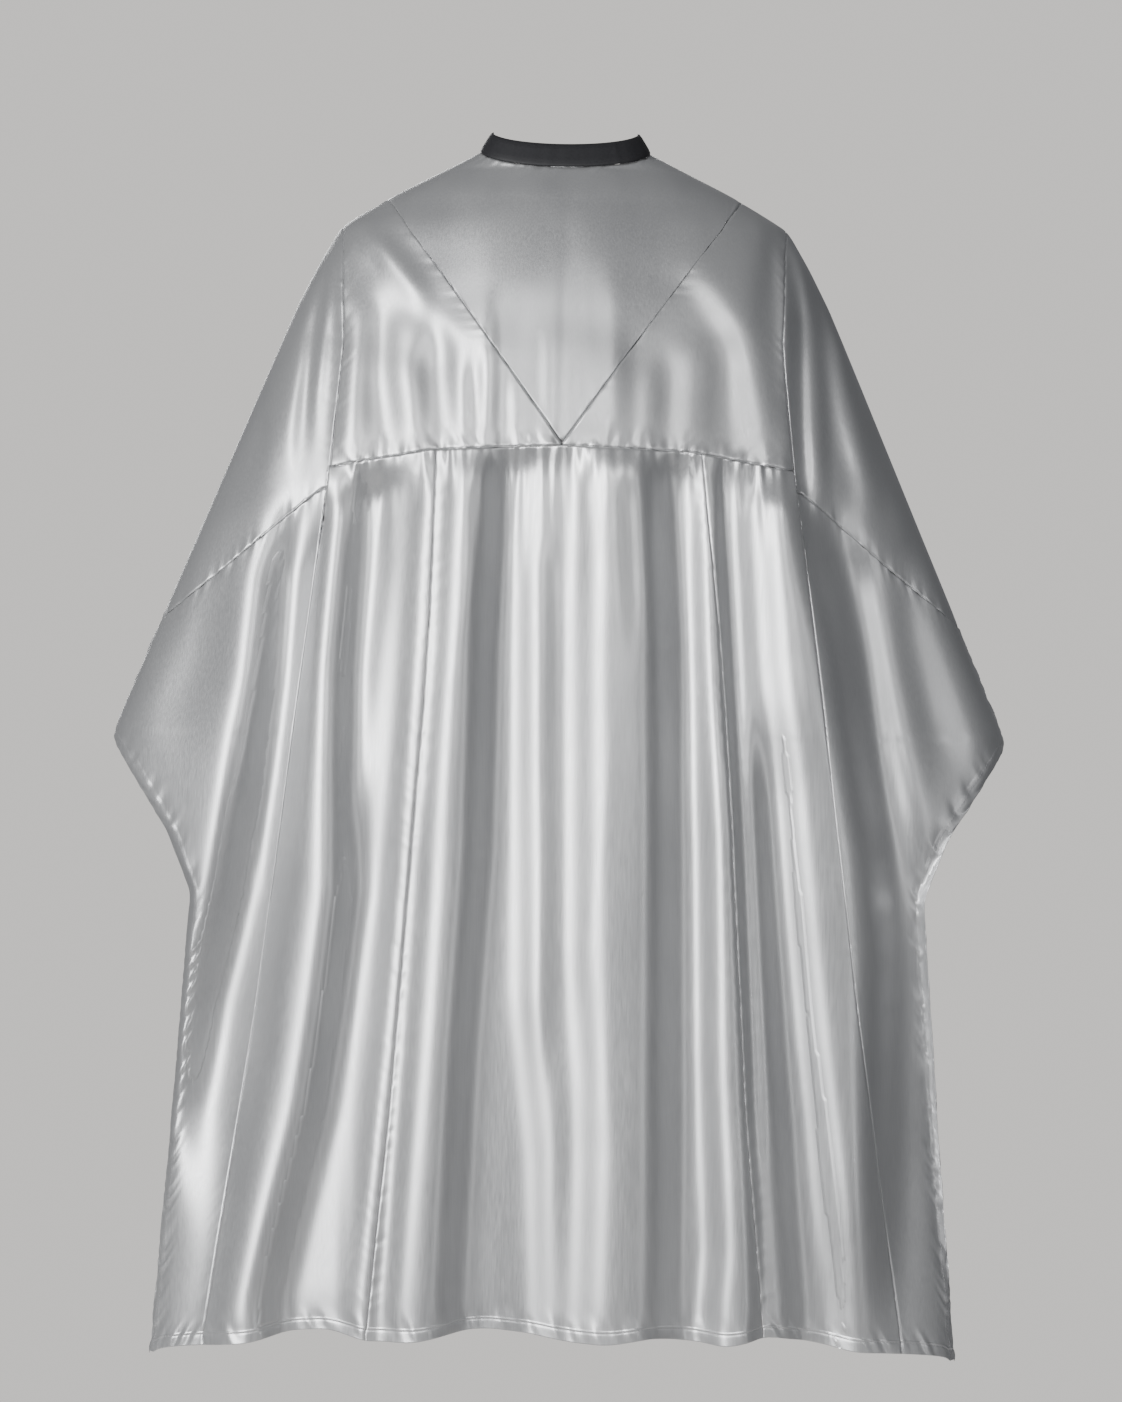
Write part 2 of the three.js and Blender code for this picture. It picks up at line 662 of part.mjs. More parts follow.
const fromSolid = (solid) => {
  const mesh = solid.getMesh();
  const geometry = new THREE.BufferGeometry();
  geometry.setAttribute('position', new THREE.Float32BufferAttribute(mesh.vertProperties, 3));
  geometry.setIndex([...mesh.triVerts]);
  return geometry;
};

const TAB_FOOT = FIT_GAP - NECK_BACK_DIP; // foot of the band behind the neck
const SNAP_Z = TAB_FOOT + BAND_FRONT_HEIGHT / 2;
const studX = (i) => SNAP_FIRST_X + SNAP_PITCH * i;
const UNDERLAP_Y = NECK_BACK_DEPTH + TAPE - LAP; // inner face of the underlap
const TAB_Y = NECK_BACK_DEPTH + TAPE; // inner face of the closure tab
const HOLE_RADIUS = BARREL_RADIUS + FIT_GAP;

function neckband() {
  const holes = [];
  for (let i = 0; i < STUD_COUNT; i += 1) {
    const hole = new THREE.CylinderGeometry(HOLE_RADIUS, HOLE_RADIUS, 4 * BAND_THICKNESS, 14);
    hole.translate(studX(i), UNDERLAP_Y, SNAP_Z);
    holes.push(toSolid(hole));
  }
  const layers = [
    ['neckband_lining', 0, BAND_CLOTH, 0, black],
    ['neckband_stiffener', BAND_CLOTH + FIT_GAP, BAND_STIFFENER, BAND_STIFFENER_INSET, liner],
    ['neckband_outer', BAND_CLOTH + BAND_STIFFENER + 2 * FIT_GAP, BAND_CLOTH, 0, black],
  ];
  for (const [name, offset, thickness, inset, material] of layers) {
    let solid = toSolid(bandLayer(offset, thickness, inset));
    for (const hole of holes) solid = solid.subtract(hole);
    addMesh(name, fromSolid(solid), material());
  }
}

function closureTab() {
  const rootX = TAB_ROOT_X + FIT_GAP;
  const tipX = studX(CAPPED_STUDS.at(-1)) + TAB_REACH;
  const low = TAB_FOOT + TAB_EDGE_INSET;
  const high = TAB_FOOT + BAND_FRONT_HEIGHT - TAB_EDGE_INSET;
  const round = (high - low) / 2;
  const shape = new THREE.Shape();
  shape.moveTo(rootX, low);
  shape.lineTo(tipX - round, low);
  shape.absarc(tipX - round, low + round, round, -Math.PI / 2, Math.PI / 2, false);
  shape.lineTo(rootX, high);
  shape.closePath();
  for (const i of CAPPED_STUDS) {
    const hole = new THREE.Path();
    hole.absarc(studX(i), SNAP_Z, HOLE_RADIUS, 0, 2 * Math.PI, true);
    shape.holes.push(hole);
  }
  const depth = BAND_THICKNESS;
  const geometry = new THREE.ExtrudeGeometry(shape, { depth, bevelEnabled: false, curveSegments: 7 });
  geometry.rotateX(Math.PI / 2);
  geometry.translate(0, TAB_Y + BAND_THICKNESS, 0);
  addMesh('closure_tab', geometry, black());
}

// ---------------------------------------------------------------- snap fasteners

// A turned piece about the Y axis from [radius, y] pairs that start and end on the axis, or close.
function turned(name, profile, x) {
  const points = profile.map(([r, y]) => new THREE.Vector2(r, y));
  if (THREE.ShapeUtils.area(points) < 0) points.reverse();
  const mesh = addMesh(name, new THREE.LatheGeometry(points, 14), steel());
  mesh.position.set(x, 0, SNAP_Z);
}

function snaps() {
  const studFace = UNDERLAP_Y + BAND_THICKNESS + FIT_GAP;
  const flangeTop = studFace + STUD_FLANGE;
  const pocket = BARREL_RADIUS + FIT_GAP;
  const barrelEnd = studFace + STUD_FLANGE / 2;
  const postFace = UNDERLAP_Y - FIT_GAP;
  const capFace = TAB_Y + BAND_THICKNESS + FIT_GAP;
  const socketBack = TAB_Y - FIT_GAP;
  const socketMouth = socketBack - SOCKET_HEIGHT;
  const socketBore = NUB_RADIUS + FIT_GAP;
  for (let i = 0; i < STUD_COUNT; i += 1) {
    turned(`snap_stud_${i + 1}`, [
      [0, flangeTop + NUB_HEIGHT],
      [NUB_RADIUS - NUB_CHAMFER, flangeTop + NUB_HEIGHT],
      [NUB_RADIUS, flangeTop + NUB_HEIGHT - NUB_CHAMFER],
      [NUB_RADIUS, flangeTop],
      [STUD_FLANGE_RADIUS, flangeTop],
      [STUD_FLANGE_RADIUS, studFace],
      [pocket, studFace],
      [pocket, barrelEnd + FIT_GAP],
      [0, barrelEnd + FIT_GAP],
    ], studX(i));
    turned(`snap_post_${i + 1}`, [
      [0, barrelEnd],
      [BARREL_RADIUS, barrelEnd],
      [BARREL_RADIUS, postFace],
      [POST_FLANGE_RADIUS, postFace],
      [POST_FLANGE_RADIUS - RIM_CHAMFER, postFace - POST_FLANGE],
      [0, postFace - POST_FLANGE],
    ], studX(i));
  }
  const capBarrelEnd = TAB_Y + BARREL_INSET;
  CAPPED_STUDS.forEach((stud, i) => {
    const dome = [3, 2, 1, 0].map((k) => {
      const angle = (k / 4) * (Math.PI / 2);
      return [CAP_RADIUS * Math.cos(angle), capFace + CAP_DOME * Math.sin(angle)];
    });
    turned(`snap_cap_${i + 1}`, [
      [0, capFace + CAP_DOME],
      ...dome,
      [BARREL_RADIUS, capFace],
      [BARREL_RADIUS, capBarrelEnd],
      [0, capBarrelEnd],
    ], studX(stud));
    turned(`snap_socket_${i + 1}`, [
      [socketBore, socketBack],
      [SOCKET_RADIUS, socketBack],
      [SOCKET_RADIUS, socketMouth + RIM_CHAMFER],
      [SOCKET_RADIUS - RIM_CHAMFER, socketMouth],
      [socketBore, socketMouth],
      [socketBore, socketBack],
    ], studX(stud));
  });
}

// ---------------------------------------------------------------- the cape

frontYoke();
const panelX = (drop) => read(PANEL_SEAM, drop);
const sideX = (drop) => read(SIDE_SEAM, drop);
lowerFront('lower_front_centre', (d) => TAPE - panelX(d), (d) => panelX(d) - TAPE, 14);
lowerFront('lower_front_side_right', (d) => panelX(d) + TAPE, (d) => sideX(d) - TAPE, 6);
lowerFront('lower_front_side_left', (d) => TAPE - sideX(d), (d) => -panelX(d) - TAPE, 6);
for (const side of sides) {
  upperFront(side);
  upperSleeve(side);
  sidePanel(side);
  backYoke(side);
  backBody(side);
  backSleeve(side);
}
neckband();
closureTab();
snaps();

export default cape;
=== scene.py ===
"""A silver satin barber cape with a black snap-closed neckband, hanging as if worn.

Metres, +Z up, the wearer faces -Y. "Left" is -X, as seen from the front.
The form comes from the CAD frame; the drape is sculpted in code on top of it.
"""

import math

import bmesh
import bpy
import numpy as np
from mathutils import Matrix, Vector


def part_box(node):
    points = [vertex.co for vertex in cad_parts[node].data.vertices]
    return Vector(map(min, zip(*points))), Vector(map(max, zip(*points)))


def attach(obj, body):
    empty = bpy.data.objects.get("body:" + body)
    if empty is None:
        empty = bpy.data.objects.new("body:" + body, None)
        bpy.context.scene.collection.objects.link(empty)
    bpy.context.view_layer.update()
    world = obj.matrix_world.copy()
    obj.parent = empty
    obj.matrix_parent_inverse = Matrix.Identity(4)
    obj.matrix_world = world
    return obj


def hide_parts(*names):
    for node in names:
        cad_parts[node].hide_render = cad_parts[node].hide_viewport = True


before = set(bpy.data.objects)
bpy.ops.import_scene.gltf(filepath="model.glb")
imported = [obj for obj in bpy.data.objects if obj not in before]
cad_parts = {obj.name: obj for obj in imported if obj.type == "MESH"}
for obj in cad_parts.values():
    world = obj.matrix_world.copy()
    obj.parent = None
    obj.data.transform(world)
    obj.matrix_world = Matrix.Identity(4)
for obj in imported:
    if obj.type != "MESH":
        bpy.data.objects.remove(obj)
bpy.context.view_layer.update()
MM = 0.001

# ---------------------------------------------------------------- sizes

CLOTH = 0.5 * MM  # thickness of one layer of satin
HEM_WIDTH = 12.0 * MM
HEM_RISE = 0.55 * MM  # a hem stands proud of the single cloth
STITCH_INSET = HEM_WIDTH - 2 * MM  # the hem's stitching, from its edge
SEAM_DEPTH = 0.9 * MM
SEAM_HALF = 1.1 * MM
GRID = 2.7 * MM  # spacing of the cloth's grid

CAMERA_DISTANCE = 4.0
CAMERA_X = 1.6 * MM
CAMERA_Z = -0.546
CAMERA_ROLL = -0.0111
VIEW_HEIGHT = 1.402  # height of the picture at the distance of the origin
SENSOR = 36.0

# ---------------------------------------------------------------- reading the frame


def triangles(*names):
    """All triangles of some CAD nodes, as an array of corners."""
    found = []
    for name in names:
        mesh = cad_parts[name].data
        mesh.calc_loop_triangles()
        points = np.array([v.co for v in mesh.vertices])
        index = np.array([t.vertices for t in mesh.loop_triangles])
        found.append(points[index])
    return np.concatenate(found)


def section(corners, axis, value):
    """Points where a plane square to an axis cuts the triangles' edges."""
    side = corners[:, :, axis] - value
    points = []
    for a, b in ((0, 1), (1, 2), (2, 0)):
        cut = side[:, a] * side[:, b] < 0
        share = (side[cut, a] / (side[cut, a] - side[cut, b]))[:, None]
        points.append(corners[cut, a] * (1 - share) + corners[cut, b] * share)
    return np.concatenate(points)


def profile(names, axis, levels, pick):
    """A curve through the frame: pick(section points) at each level, read by interpolation."""
    corners = triangles(*names)
    at, values = [], []
    for level in levels:
        points = section(corners, axis, level)
        if len(points):
            at.append(level)
            values.append(pick(points))
    at, values = np.array(at), np.array(values)
    return lambda v: np.interp(v, at, values)


def blurred(values, spacing, sigma):
    """Gaussian average along the last axis, with the ends held."""
    if sigma <= 0:
        return values
    reach = int(math.ceil(3 * sigma / spacing))
    kernel = np.exp(-0.5 * (np.arange(-reach, reach + 1) * spacing / sigma) ** 2)
    kernel /= kernel.sum()
    padded = np.concatenate(
        [
            np.repeat(values[..., :1], reach, -1),
            values,
            np.repeat(values[..., -1:], reach, -1),
        ],
        -1,
    )
    width = values.shape[-1]
    return sum(k * padded[..., i : i + width] for i, k in enumerate(kernel))


SATIN_FRONT = ["front_yoke", "lower_front_centre"] + [
    f"{part}_{side}"
    for part in ("upper_front", "upper_sleeve", "lower_front_side", "side_panel")
    for side in ("left", "right")
]
SATIN_BACK_LEFT = ["back_yoke_left", "back_body_left", "back_sleeve_left"]

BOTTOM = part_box("side_panel_left")[0].z
NECK_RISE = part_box("front_yoke")[1].z


def levels_to(top, low=BOTTOM + 0.5 * MM):
    """Levels up to a height, closer together just under it."""
    near = top - np.array([4.0, 3.0, 2.0, 1.2, 0.6, 0.2]) * MM
    return np.concatenate([np.arange(low, near[0] - 1 * MM, 3 * MM), near])


NECK_FRONT_DIP = section(triangles("front_yoke"), 0, 1 * MM)[:, 2].max()
HEM_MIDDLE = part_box("lower_front_centre")[0].z + 6 * MM
NECK_BACK_DIP = section(triangles("back_yoke_left"), 0, -1 * MM)[:, 2].max()

_half = profile(SATIN_FRONT, 2, levels_to(NECK_RISE), lambda p: p[:, 0].max())
_side = profile(SATIN_FRONT, 2, levels_to(NECK_RISE), lambda p: p[p[:, 0].argmax(), 1])
_front = profile(
    SATIN_FRONT, 2, levels_to(NECK_FRONT_DIP, HEM_MIDDLE + 1 * MM), lambda p: p[:, 1].min()
)
_back = profile(SATIN_BACK_LEFT, 2, levels_to(NECK_BACK_DIP), lambda p: p[:, 1].max())

SLEEVE_TIP = -0.582  # height where the sleeve is widest
FINE = np.arange(BOTTOM - 20 * MM, NECK_RISE + 20 * MM, 1 * MM)
NECK_EXACT = (-60 * MM, -24 * MM)  # over this stretch the form comes to keep to the frame exactly


def ease(v):
    v = np.clip(v, 0, 1)
    return v * v * (3 - 2 * v)


def eased(curve, sigma):
    """The same curve with its corners rounded, except at the neck."""
    exact = ease((FINE - NECK_EXACT[0]) / (NECK_EXACT[1] - NECK_EXACT[0]))
    values = exact * curve(FINE) + (1 - exact) * blurred(curve(FINE), 1 * MM, sigma)
    return lambda v: np.interp(v, FINE, values)


def pinned(curve, level, value, reach):
    """The same curve led to an exact value at one level and kept there above it."""
    miss = value - float(curve(level))
    return lambda v: curve(v) + miss * ease(1 - (level - v) / reach)


BAND_CLOTH_THICK = 0.8 * MM
PIN = 5 * MM  # the last stretch below the neck, where the form is led to the band
NECK_LOW, NECK_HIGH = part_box("neckband_lining")
NECK_HALF = NECK_HIGH.x - BAND_CLOTH_THICK
half_width = eased(pinned(_half, NECK_RISE, NECK_HALF, PIN), 5 * MM)


def _side_line(z):
    """The frame's side line down to the sleeve's tip, and from there straight to the hem."""
    ends = float(_side(SLEEVE_TIP + 2 * MM)), float(_side(BOTTOM + 1 * MM))
    return np.where(z > SLEEVE_TIP, _side(z), np.interp(z, (BOTTOM, SLEEVE_TIP), ends[::-1]))


side_y = eased(_side_line, 40 * MM)
front_y = eased(pinned(_front, NECK_FRONT_DIP, NECK_LOW.y + BAND_CLOTH_THICK, PIN), 22 * MM)
back_y = eased(pinned(_back, NECK_BACK_DIP, NECK_HIGH.y - BAND_CLOTH_THICK, PIN), 18 * MM)

CHEST_END = 0.222  # half width of the chest seam, where it meets the side seams
CHEST_TURN = -0.321  # height of that corner: the side seams bend there
PANEL_TOP, PANEL_LOW = -0.305, -1.155  # heights where the lower panels' widths are read


def highest(p):
    return p[:, 2].max()


def lowest(p):
    return p[:, 2].min()


def outermost(p):
    return p[:, 0].max()


def between(low, high, step):
    """Levels from low to high, given in millimetres."""
    return np.arange(low, high, step) * MM


ACROSS = between(1, 440, 3)
LOWER_FRONT = ["lower_front_centre", "lower_front_side_right"]
chest_z = profile(LOWER_FRONT, 0, ACROSS[ACROSS < CHEST_END], highest)
cross_z = profile(["upper_sleeve_right"], 0, ACROSS[ACROSS > 0.2305], lowest)
hem_z = profile([*LOWER_FRONT, "side_panel_right"], 0, ACROSS[ACROSS < 0.388], lowest)
yoke_z = profile(["front_yoke"], 0, ACROSS[ACROSS < 0.176], lowest)
_upper_seam = profile(["upper_front_right"], 2, between(-318, -80, 4), outermost)
_lower_seam = profile(["lower_front_side_right"], 2, between(-1155, -326, 4), outermost)
panel_seam_x = profile(["lower_front_centre"], 2, between(-1148, -302, 6), outermost)
back_seam_x = profile(["back_body_left"], 2, between(-565, -85, 6), lambda p: -p[:, 0].min())
back_yoke_z = profile(["back_yoke_left"], 0, -ACROSS[ACROSS < 0.215][::-1], lowest)
BACK_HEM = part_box("back_body_left")[0].z
BACK_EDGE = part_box("back_yoke_left")[1].x  # each back edge passes the centre line by this much
NECK_FLAT = 50 * MM  # half of the straight stretch behind the neck
BACK_YOKE_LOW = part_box("back_yoke_left")[0].z
LAP = float(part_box("back_yoke_left")[1].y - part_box("back_yoke_right")[1].y)


def side_seam_x(z):
    return np.where(z > CHEST_TURN, _upper_seam(z), _lower_seam(z))


# ---------------------------------------------------------------- the form

# Below the sleeve's tip the free edge hangs forward of the side line, as part of a wider sheet.
FREE_SHEET = [  # (height, half width)
    (-1.181, 0.391), (-0.95, 0.384), (-0.82, 0.398), (-0.735, 0.424), (-0.66, 0.447),
    (-0.61, 0.451), (SLEEVE_TIP, 0.444),
]
TIP_BLEND = 20 * MM


def _sheet_half(z):
    at, half = np.array(FREE_SHEET).T
    return np.where(z > SLEEVE_TIP, _half(z), np.interp(z, at, half))


_free = eased(_sheet_half, 25 * MM)


def form_width(z):
    below = ease((SLEEVE_TIP + 0.9 * TIP_BLEND - z) / TIP_BLEND)
    return half_width(z) + below * np.maximum(_free(z) - half_width(z), 0)


NECK_FULLNESS = 0.5  # an ellipse, as in the frame
FORM_FULLNESS = 0.42  # flatter across the front
FULLNESS_TOP, FULLNESS_REACH = -0.03, 0.12  # the one passes into the other below the band


def front_form(phi, z):
    """Point of the smooth front at the turn phi from the centre line."""
    half, side, front = half_width(z), side_y(z), front_y(z)
    x = half * np.sin(phi)
    share = ease((FULLNESS_TOP - z) / FULLNESS_REACH)
    fullness = NECK_FULLNESS + (FORM_FULLNESS - NECK_FULLNESS) * share
    round_ = np.clip(1 - (x / form_width(z)) ** 2, 0, 1) ** fullness
    return np.stack([x, side + (front - side) * round_, z], -1)


def back_form(phi, z, under):
    half, side = half_width(z), side_y(z)
    flat = NECK_FLAT * np.clip(1 - z / BACK_YOKE_LOW, 0, 1)
    x = half * np.sin(phi)
    q = np.clip((np.abs(x) - flat) / (half - flat), 0, 1)
    depth = back_y(z) - side - (LAP if under else 0)
    return np.stack([x, side + 0.5 * MM + depth * np.sqrt(1 - q * q), z], -1)


def turn_at(x, z):
    return np.arcsin(np.clip(x / half_width(z), -1, 1))


def as_seen(points):
    """Where the camera sees a point, on the upright plane through the origin."""
    k = (CAMERA_DISTANCE + points[..., 1]) / CAMERA_DISTANCE
    x = CAMERA_X + (points[..., 0] - CAMERA_X) / k
    z = CAMERA_Z + (points[..., 2] - CAMERA_Z) / k
    return x, z


# ---------------------------------------------------------------- folds of the front

# Each fold flank is (slope, width, [(z, x), ...]): a slope without a unit, and millimetres as the
# camera sees them on the upright plane through the origin. A positive slope comes forward to the
# right, so that the flank faces left. The places were judged.
LOWER_FLANKS = [
    (-0.34, 20, [(-350, -322), (-405, -348), (-495, -380), (-560, -402)]),
    (-1.15, 16, [
        (-345, -268), (-420, -286), (-520, -293), (-630, -309), (-740, -328), (-850, -352),
        (-960, -366),
    ]),
    (0.36, 13, [
        (-345, -235), (-495, -252), (-740, -272), (-895, -292), (-1095, -322), (-1165, -334),
    ]),
    (-1.0, 14, [
        (-330, -206), (-520, -216), (-740, -211), (-850, -224), (-960, -240), (-1070, -266),
        (-1145, -282),
    ]),
    (0.28, 9, [(-330, -172), (-405, -177), (-495, -187), (-595, -196), (-660, -205)]),
    (0.36, 10, [(-320, -140), (-495, -150), (-695, -162), (-895, -178), (-1145, -202)]),
    (-0.30, 7, [(-310, -128), (-495, -132), (-695, -146), (-895, -160), (-1145, -181)]),
    (0.38, 10, [(-310, -112), (-495, -119), (-695, -133), (-895, -143), (-1145, -160)]),
    (-0.82, 14, [(-305, -66), (-495, -76), (-695, -80), (-895, -93), (-1145, -103)]),
    (0.42, 12, [(-300, -38), (-495, -34), (-695, -30), (-840, -28), (-1000, -14), (-1145, -10)]),
    (-0.22, 7, [(-400, -12), (-495, -9), (-695, -7), (-880, -6)]),
    (0.50, 15, [(-300, 24), (-595, 26), (-795, 27), (-995, 37), (-1145, 34)]),
    (-0.26, 6, [(-330, 62), (-405, 65), (-450, 68)]),
    (0.24, 5, [(-330, 74), (-405, 77), (-450, 80)]),
    (-0.86, 14, [(-305, 94), (-495, 106), (-695, 108), (-895, 110), (-1095, 112), (-1145, 112)]),
    (0.62, 10, [(-310, 134), (-495, 140), (-695, 151), (-895, 155), (-1095, 164), (-1145, 160)]),
    (-0.72, 7, [(-305, 154), (-495, 167), (-695, 180), (-895, 191), (-1145, 204)]),
    (0.40, 5, [(-305, 168), (-495, 180), (-695, 193), (-895, 204), (-980, 208)]),
    (-0.66, 11, [(-600, 200), (-695, 207), (-895, 221), (-1095, 236), (-1150, 241)]),
    (0.52, 14, [(-330, 204), (-495, 215), (-695, 235), (-895, 258), (-1095, 286), (-1150, 291)]),
    (-0.95, 16, [
        (-340, 244), (-405, 258), (-495, 283), (-595, 299), (-695, 316), (-795, 325),
        (-895, 326), (-1095, 328),
    ]),
    (0.44, 10, [(-360, 290), (-405, 305), (-495, 321), (-595, 337), (-680, 354)]),
    (-0.14, 8, [(-390, 338), (-495, 348), (-595, 372)]),
    (0.55, 18, [(-400, 350), (-495, 380), (-600, 410)]),
]
UPPER_FLANKS = [
    (0.45, 9, [(-75, -212), (-92, -200), (-120, -164), (-190, -112), (-285, -104)]),
    (-0.55, 9, [(-85, -182), (-97, -170), (-135, -143), (-165, -132)]),
    (0.40, 11, [(-165, -172), (-225, -170), (-290, -158)]),
    (-0.50, 11, [(-150, -190), (-225, -195), (-300, -193)]),
    (-0.40, 9, [(-205, -144), (-240, -139), (-290, -138)]),
    (0.45, 8, [(-165, -214), (-225, -218), (-310, -226)]),
    (-0.50, 8, [(-95, -216), (-112, -215), (-135, -214)]),
    (0.60, 5, [(-80, -224), (-105, -225), (-135, -226)]),
    (0.60, 4, [(-100, -233), (-174, -243), (-250, -251)]),
    (-0.40, 4, [(-105, -228), (-174, -234), (-240, -240)]),
    (0.75, 4, [(-86, -230), (-130, -249), (-175, -268), (-250, -296)]),
    (-0.65, 5, [(-100, -238), (-130, -244), (-172, -254), (-285, -266)]),
    (-0.45, 5, [(-130, -256), (-175, -278), (-260, -308)]),
    (0.32, 9, [(-190, -272), (-260, -288), (-360, -318)]),
    (-0.40, 6, [(-215, -95), (-285, -92)]),
    (0.36, 5, [(-205, -82), (-285, -80)]),
    (-0.34, 6, [(-150, -68), (-225, -67), (-285, -68)]),
    (0.22, 24, [(-40, -100), (-120, -92), (-230, -86)]),
    (-0.14, 30, [(-40, 60), (-120, 62), (-230, 58)]),
    (0.30, 5, [(-230, -52), (-288, -50)]),
    (0.20, 6, [(-175, -18), (-230, -17), (-285, -16)]),
    (-0.12, 5, [(-30, -2), (-120, -1), (-185, -3), (-285, -6)]),
    (0.15, 8, [(-60, 8), (-135, 12), (-285, 17)]),
    (0.20, 7, [(-120, 38), (-160, 41), (-205, 43)]),
    (-0.26, 8, [(-190, 62), (-285, 64)]),
    (-0.40, 8, [(-215, 99), (-285, 96)]),
    (0.30, 12, [(-118, 128), (-140, 146), (-175, 168), (-215, 182), (-300, 192)]),
    (-0.36, 12, [(-190, 150), (-225, 149), (-290, 146)]),
    (-0.38, 11, [(-86, 206), (-110, 202), (-150, 200), (-260, 212)]),
    (0.60, 5, [(-95, 214), (-135, 218), (-180, 219)]),
    (-0.50, 5, [(-95, 222), (-135, 226), (-180, 229)]),
    (0.75, 4, [(-85, 224), (-123, 238), (-155, 242), (-264, 245), (-335, 250)]),
    (-0.85, 6, [(-150, 231), (-225, 233), (-335, 236)]),
    (-0.60, 5, [(-110, 243), (-163, 256), (-225, 261), (-330, 266)]),
    (0.70, 8, [(-130, 258), (-163, 267), (-209, 272), (-264, 282), (-335, 300)]),
    (-0.45, 7, [(-190, 285), (-225, 291), (-330, 318)]),
]

RASTER = 2 * MM
RASTER_X = np.arange(-470, 471, 2) * MM
RASTER_Z = np.arange(-1260, 61, 2) * MM
FOLD_AVERAGE = 62 * MM  # folds keep to the form over this width
FOLD_FADE = 120 * MM
FOLD_START = 40 * MM
LATE_START = -0.50  # folds that begin below this grow slowly
HEM_REACH = -1.12  # flanks that are listed down to here run on to the hem
STEEP = 0.9  # flanks steeper than this take twice as long to end
LOWER_GAIN = 1.3
CREASES = 70  # soft creases of handled satin on each half of the front
CREASE_TALL = 0.6 * MM


def fold_height(flanks, gain=1.0):
    """Height of the folds towards the viewer, from the slopes of their flanks."""
    slope = np.zeros((len(RASTER_Z), len(RASTER_X)))
    for strength, width, stations in flanks:
        line = np.array(sorted(stations)) * MM
        x = np.interp(RASTER_Z, line[:, 0], line[:, 1])
        fade = np.ones(len(RASTER_Z))
        if line[0, 0] > HEM_REACH:
            end = FOLD_FADE * (2 if abs(strength) > STEEP else 1)
            fade = ease((RASTER_Z - line[0, 0]) / end + 0.62)
        start = FOLD_START if line[-1, 0] > LATE_START else FOLD_FADE
        fade = fade * ease((line[-1, 0] - RASTER_Z) / start + 0.6)
        away = (RASTER_X[None, :] - x[:, None]) / (width * MM)
        slope += gain * strength * fade[:, None] * np.exp(-0.5 * away**2)
    height = np.cumsum(slope, 1) * RASTER
    height -= blurred(height, RASTER, FOLD_AVERAGE)
    return blurred(height.T, RASTER, 9 * MM).T


def ripples(rng, height, start_z, lengths, heights, widths, pitch, span, drift, down):
    """Short folds that start on a gathered seam and die away from it."""
    x = span[0]
    while x < span[1]:
        x += rng.uniform(*pitch) * MM
        length = rng.uniform(*lengths) * MM
        tall = rng.uniform(*heights) * MM
        width = rng.uniform(*widths) * MM
        lean = rng.uniform(-drift, drift) + 0.10 * x * down
        away = (start_z[None, :] - RASTER_Z[:, None]) * down
        middle = x + lean * np.clip(away, 0, None)
        share = np.clip(away / length, 0, 1)
        swell = np.where(away > -1 * MM, (1 - share) ** 1.5, 0)
        height += tall * swell * np.exp(-0.5 * ((RASTER_X[None, :] - middle) / width) ** 2)
    return height


def seen_line(x_true, z_true):
    """A line on the front, as the camera sees it: height against x over the raster."""
    points = front_form(turn_at(x_true, z_true), z_true)
    x, z = as_seen(points)
    order = np.argsort(x)
    return np.interp(RASTER_X, x[order], z[order])


def chest_line():
    x = between(-222, 223, 3)
    return seen_line(x, chest_z(np.abs(x)))


def fold_fields():
    rng = np.random.default_rng(11)
    upper, lower = fold_height(UPPER_FLANKS), fold_height(LOWER_FLANKS, LOWER_GAIN)
    chest = chest_line()
    span = (-0.215, 0.215)
    lower = ripples(rng, lower, chest, (40, 150), (1.5, 3.8), (3.0, 5.2), (8, 13), span, 0.05, 1)
    lower = ripples(rng, lower, chest, (14, 50), (1.3, 2.8), (2.2, 3.2), (7, 11), span, 0.10, 1)
    upper = ripples(rng, upper, chest, (10, 32), (1.2, 2.6), (2.4, 3.6), (8, 13), span, 0.10, -1)
    for field, top, base in ((upper, 0.0, -0.33), (lower, -0.33, -1.19)):
        for _ in range(CREASES):
            x0, z0 = rng.uniform(-0.40, 0.40), rng.uniform(base, top)
            length, width = rng.uniform(40, 130) * MM, rng.uniform(5, 10) * MM
            calm = 0.35 if abs(x0) < 0.16 and z0 > -0.22 else 1.0
            tall = calm * rng.uniform(-CREASE_TALL, CREASE_TALL)
            lean = rng.uniform(-0.12, 0.12) + 0.12 * x0
            along = (RASTER_Z[:, None] - z0) / length
            away = (RASTER_X[None, :] - x0 + lean * (RASTER_Z[:, None] - z0)) / width
            field += tall * np.exp(-0.5 * (along**2 + away**2))
    return upper, lower, chest


UPPER_FIELD, LOWER_FIELD, CHEST_LINE = fold_fields()
SLEEVE_BLEND = (-0.44, -0.29)  # the sleeve passes from the upper to the lower folds here


def sampled(field, x, z):
    """Bilinear reading of a raster field."""
    i = np.clip((x - RASTER_X[0]) / RASTER, 0, len(RASTER_X) - 1.001)
    j = np.clip((z - RASTER_Z[0]) / RASTER, 0, len(RASTER_Z) - 1.001)
    i0, j0 = i.astype(int), j.astype(int)
    u, v = i - i0, j - j0
    a = field[j0, i0] * (1 - u) + field[j0, i0 + 1] * u
    b = field[j0 + 1, i0] * (1 - u) + field[j0 + 1, i0 + 1] * u
    return a * (1 - v) + b * v


# How far the hem's edge dips (-) or lifts (+), in millimetres, along the camera's x.
HEM_WAVES = [
    (-390, -2), (-345, -3), (-300, -1), (-263, 5), (-225, 6), (-185, -5), (-140, -5), (-85, 4),
    (-62, 5), (-20, 0), (20, -6), (58, -6), (97, 1), (135, -4), (175, -6), (216, 5), (255, 0),
    (300, -6), (355, -4), (390, -2),
]
HEM_WAVE_REACH = 70 * MM


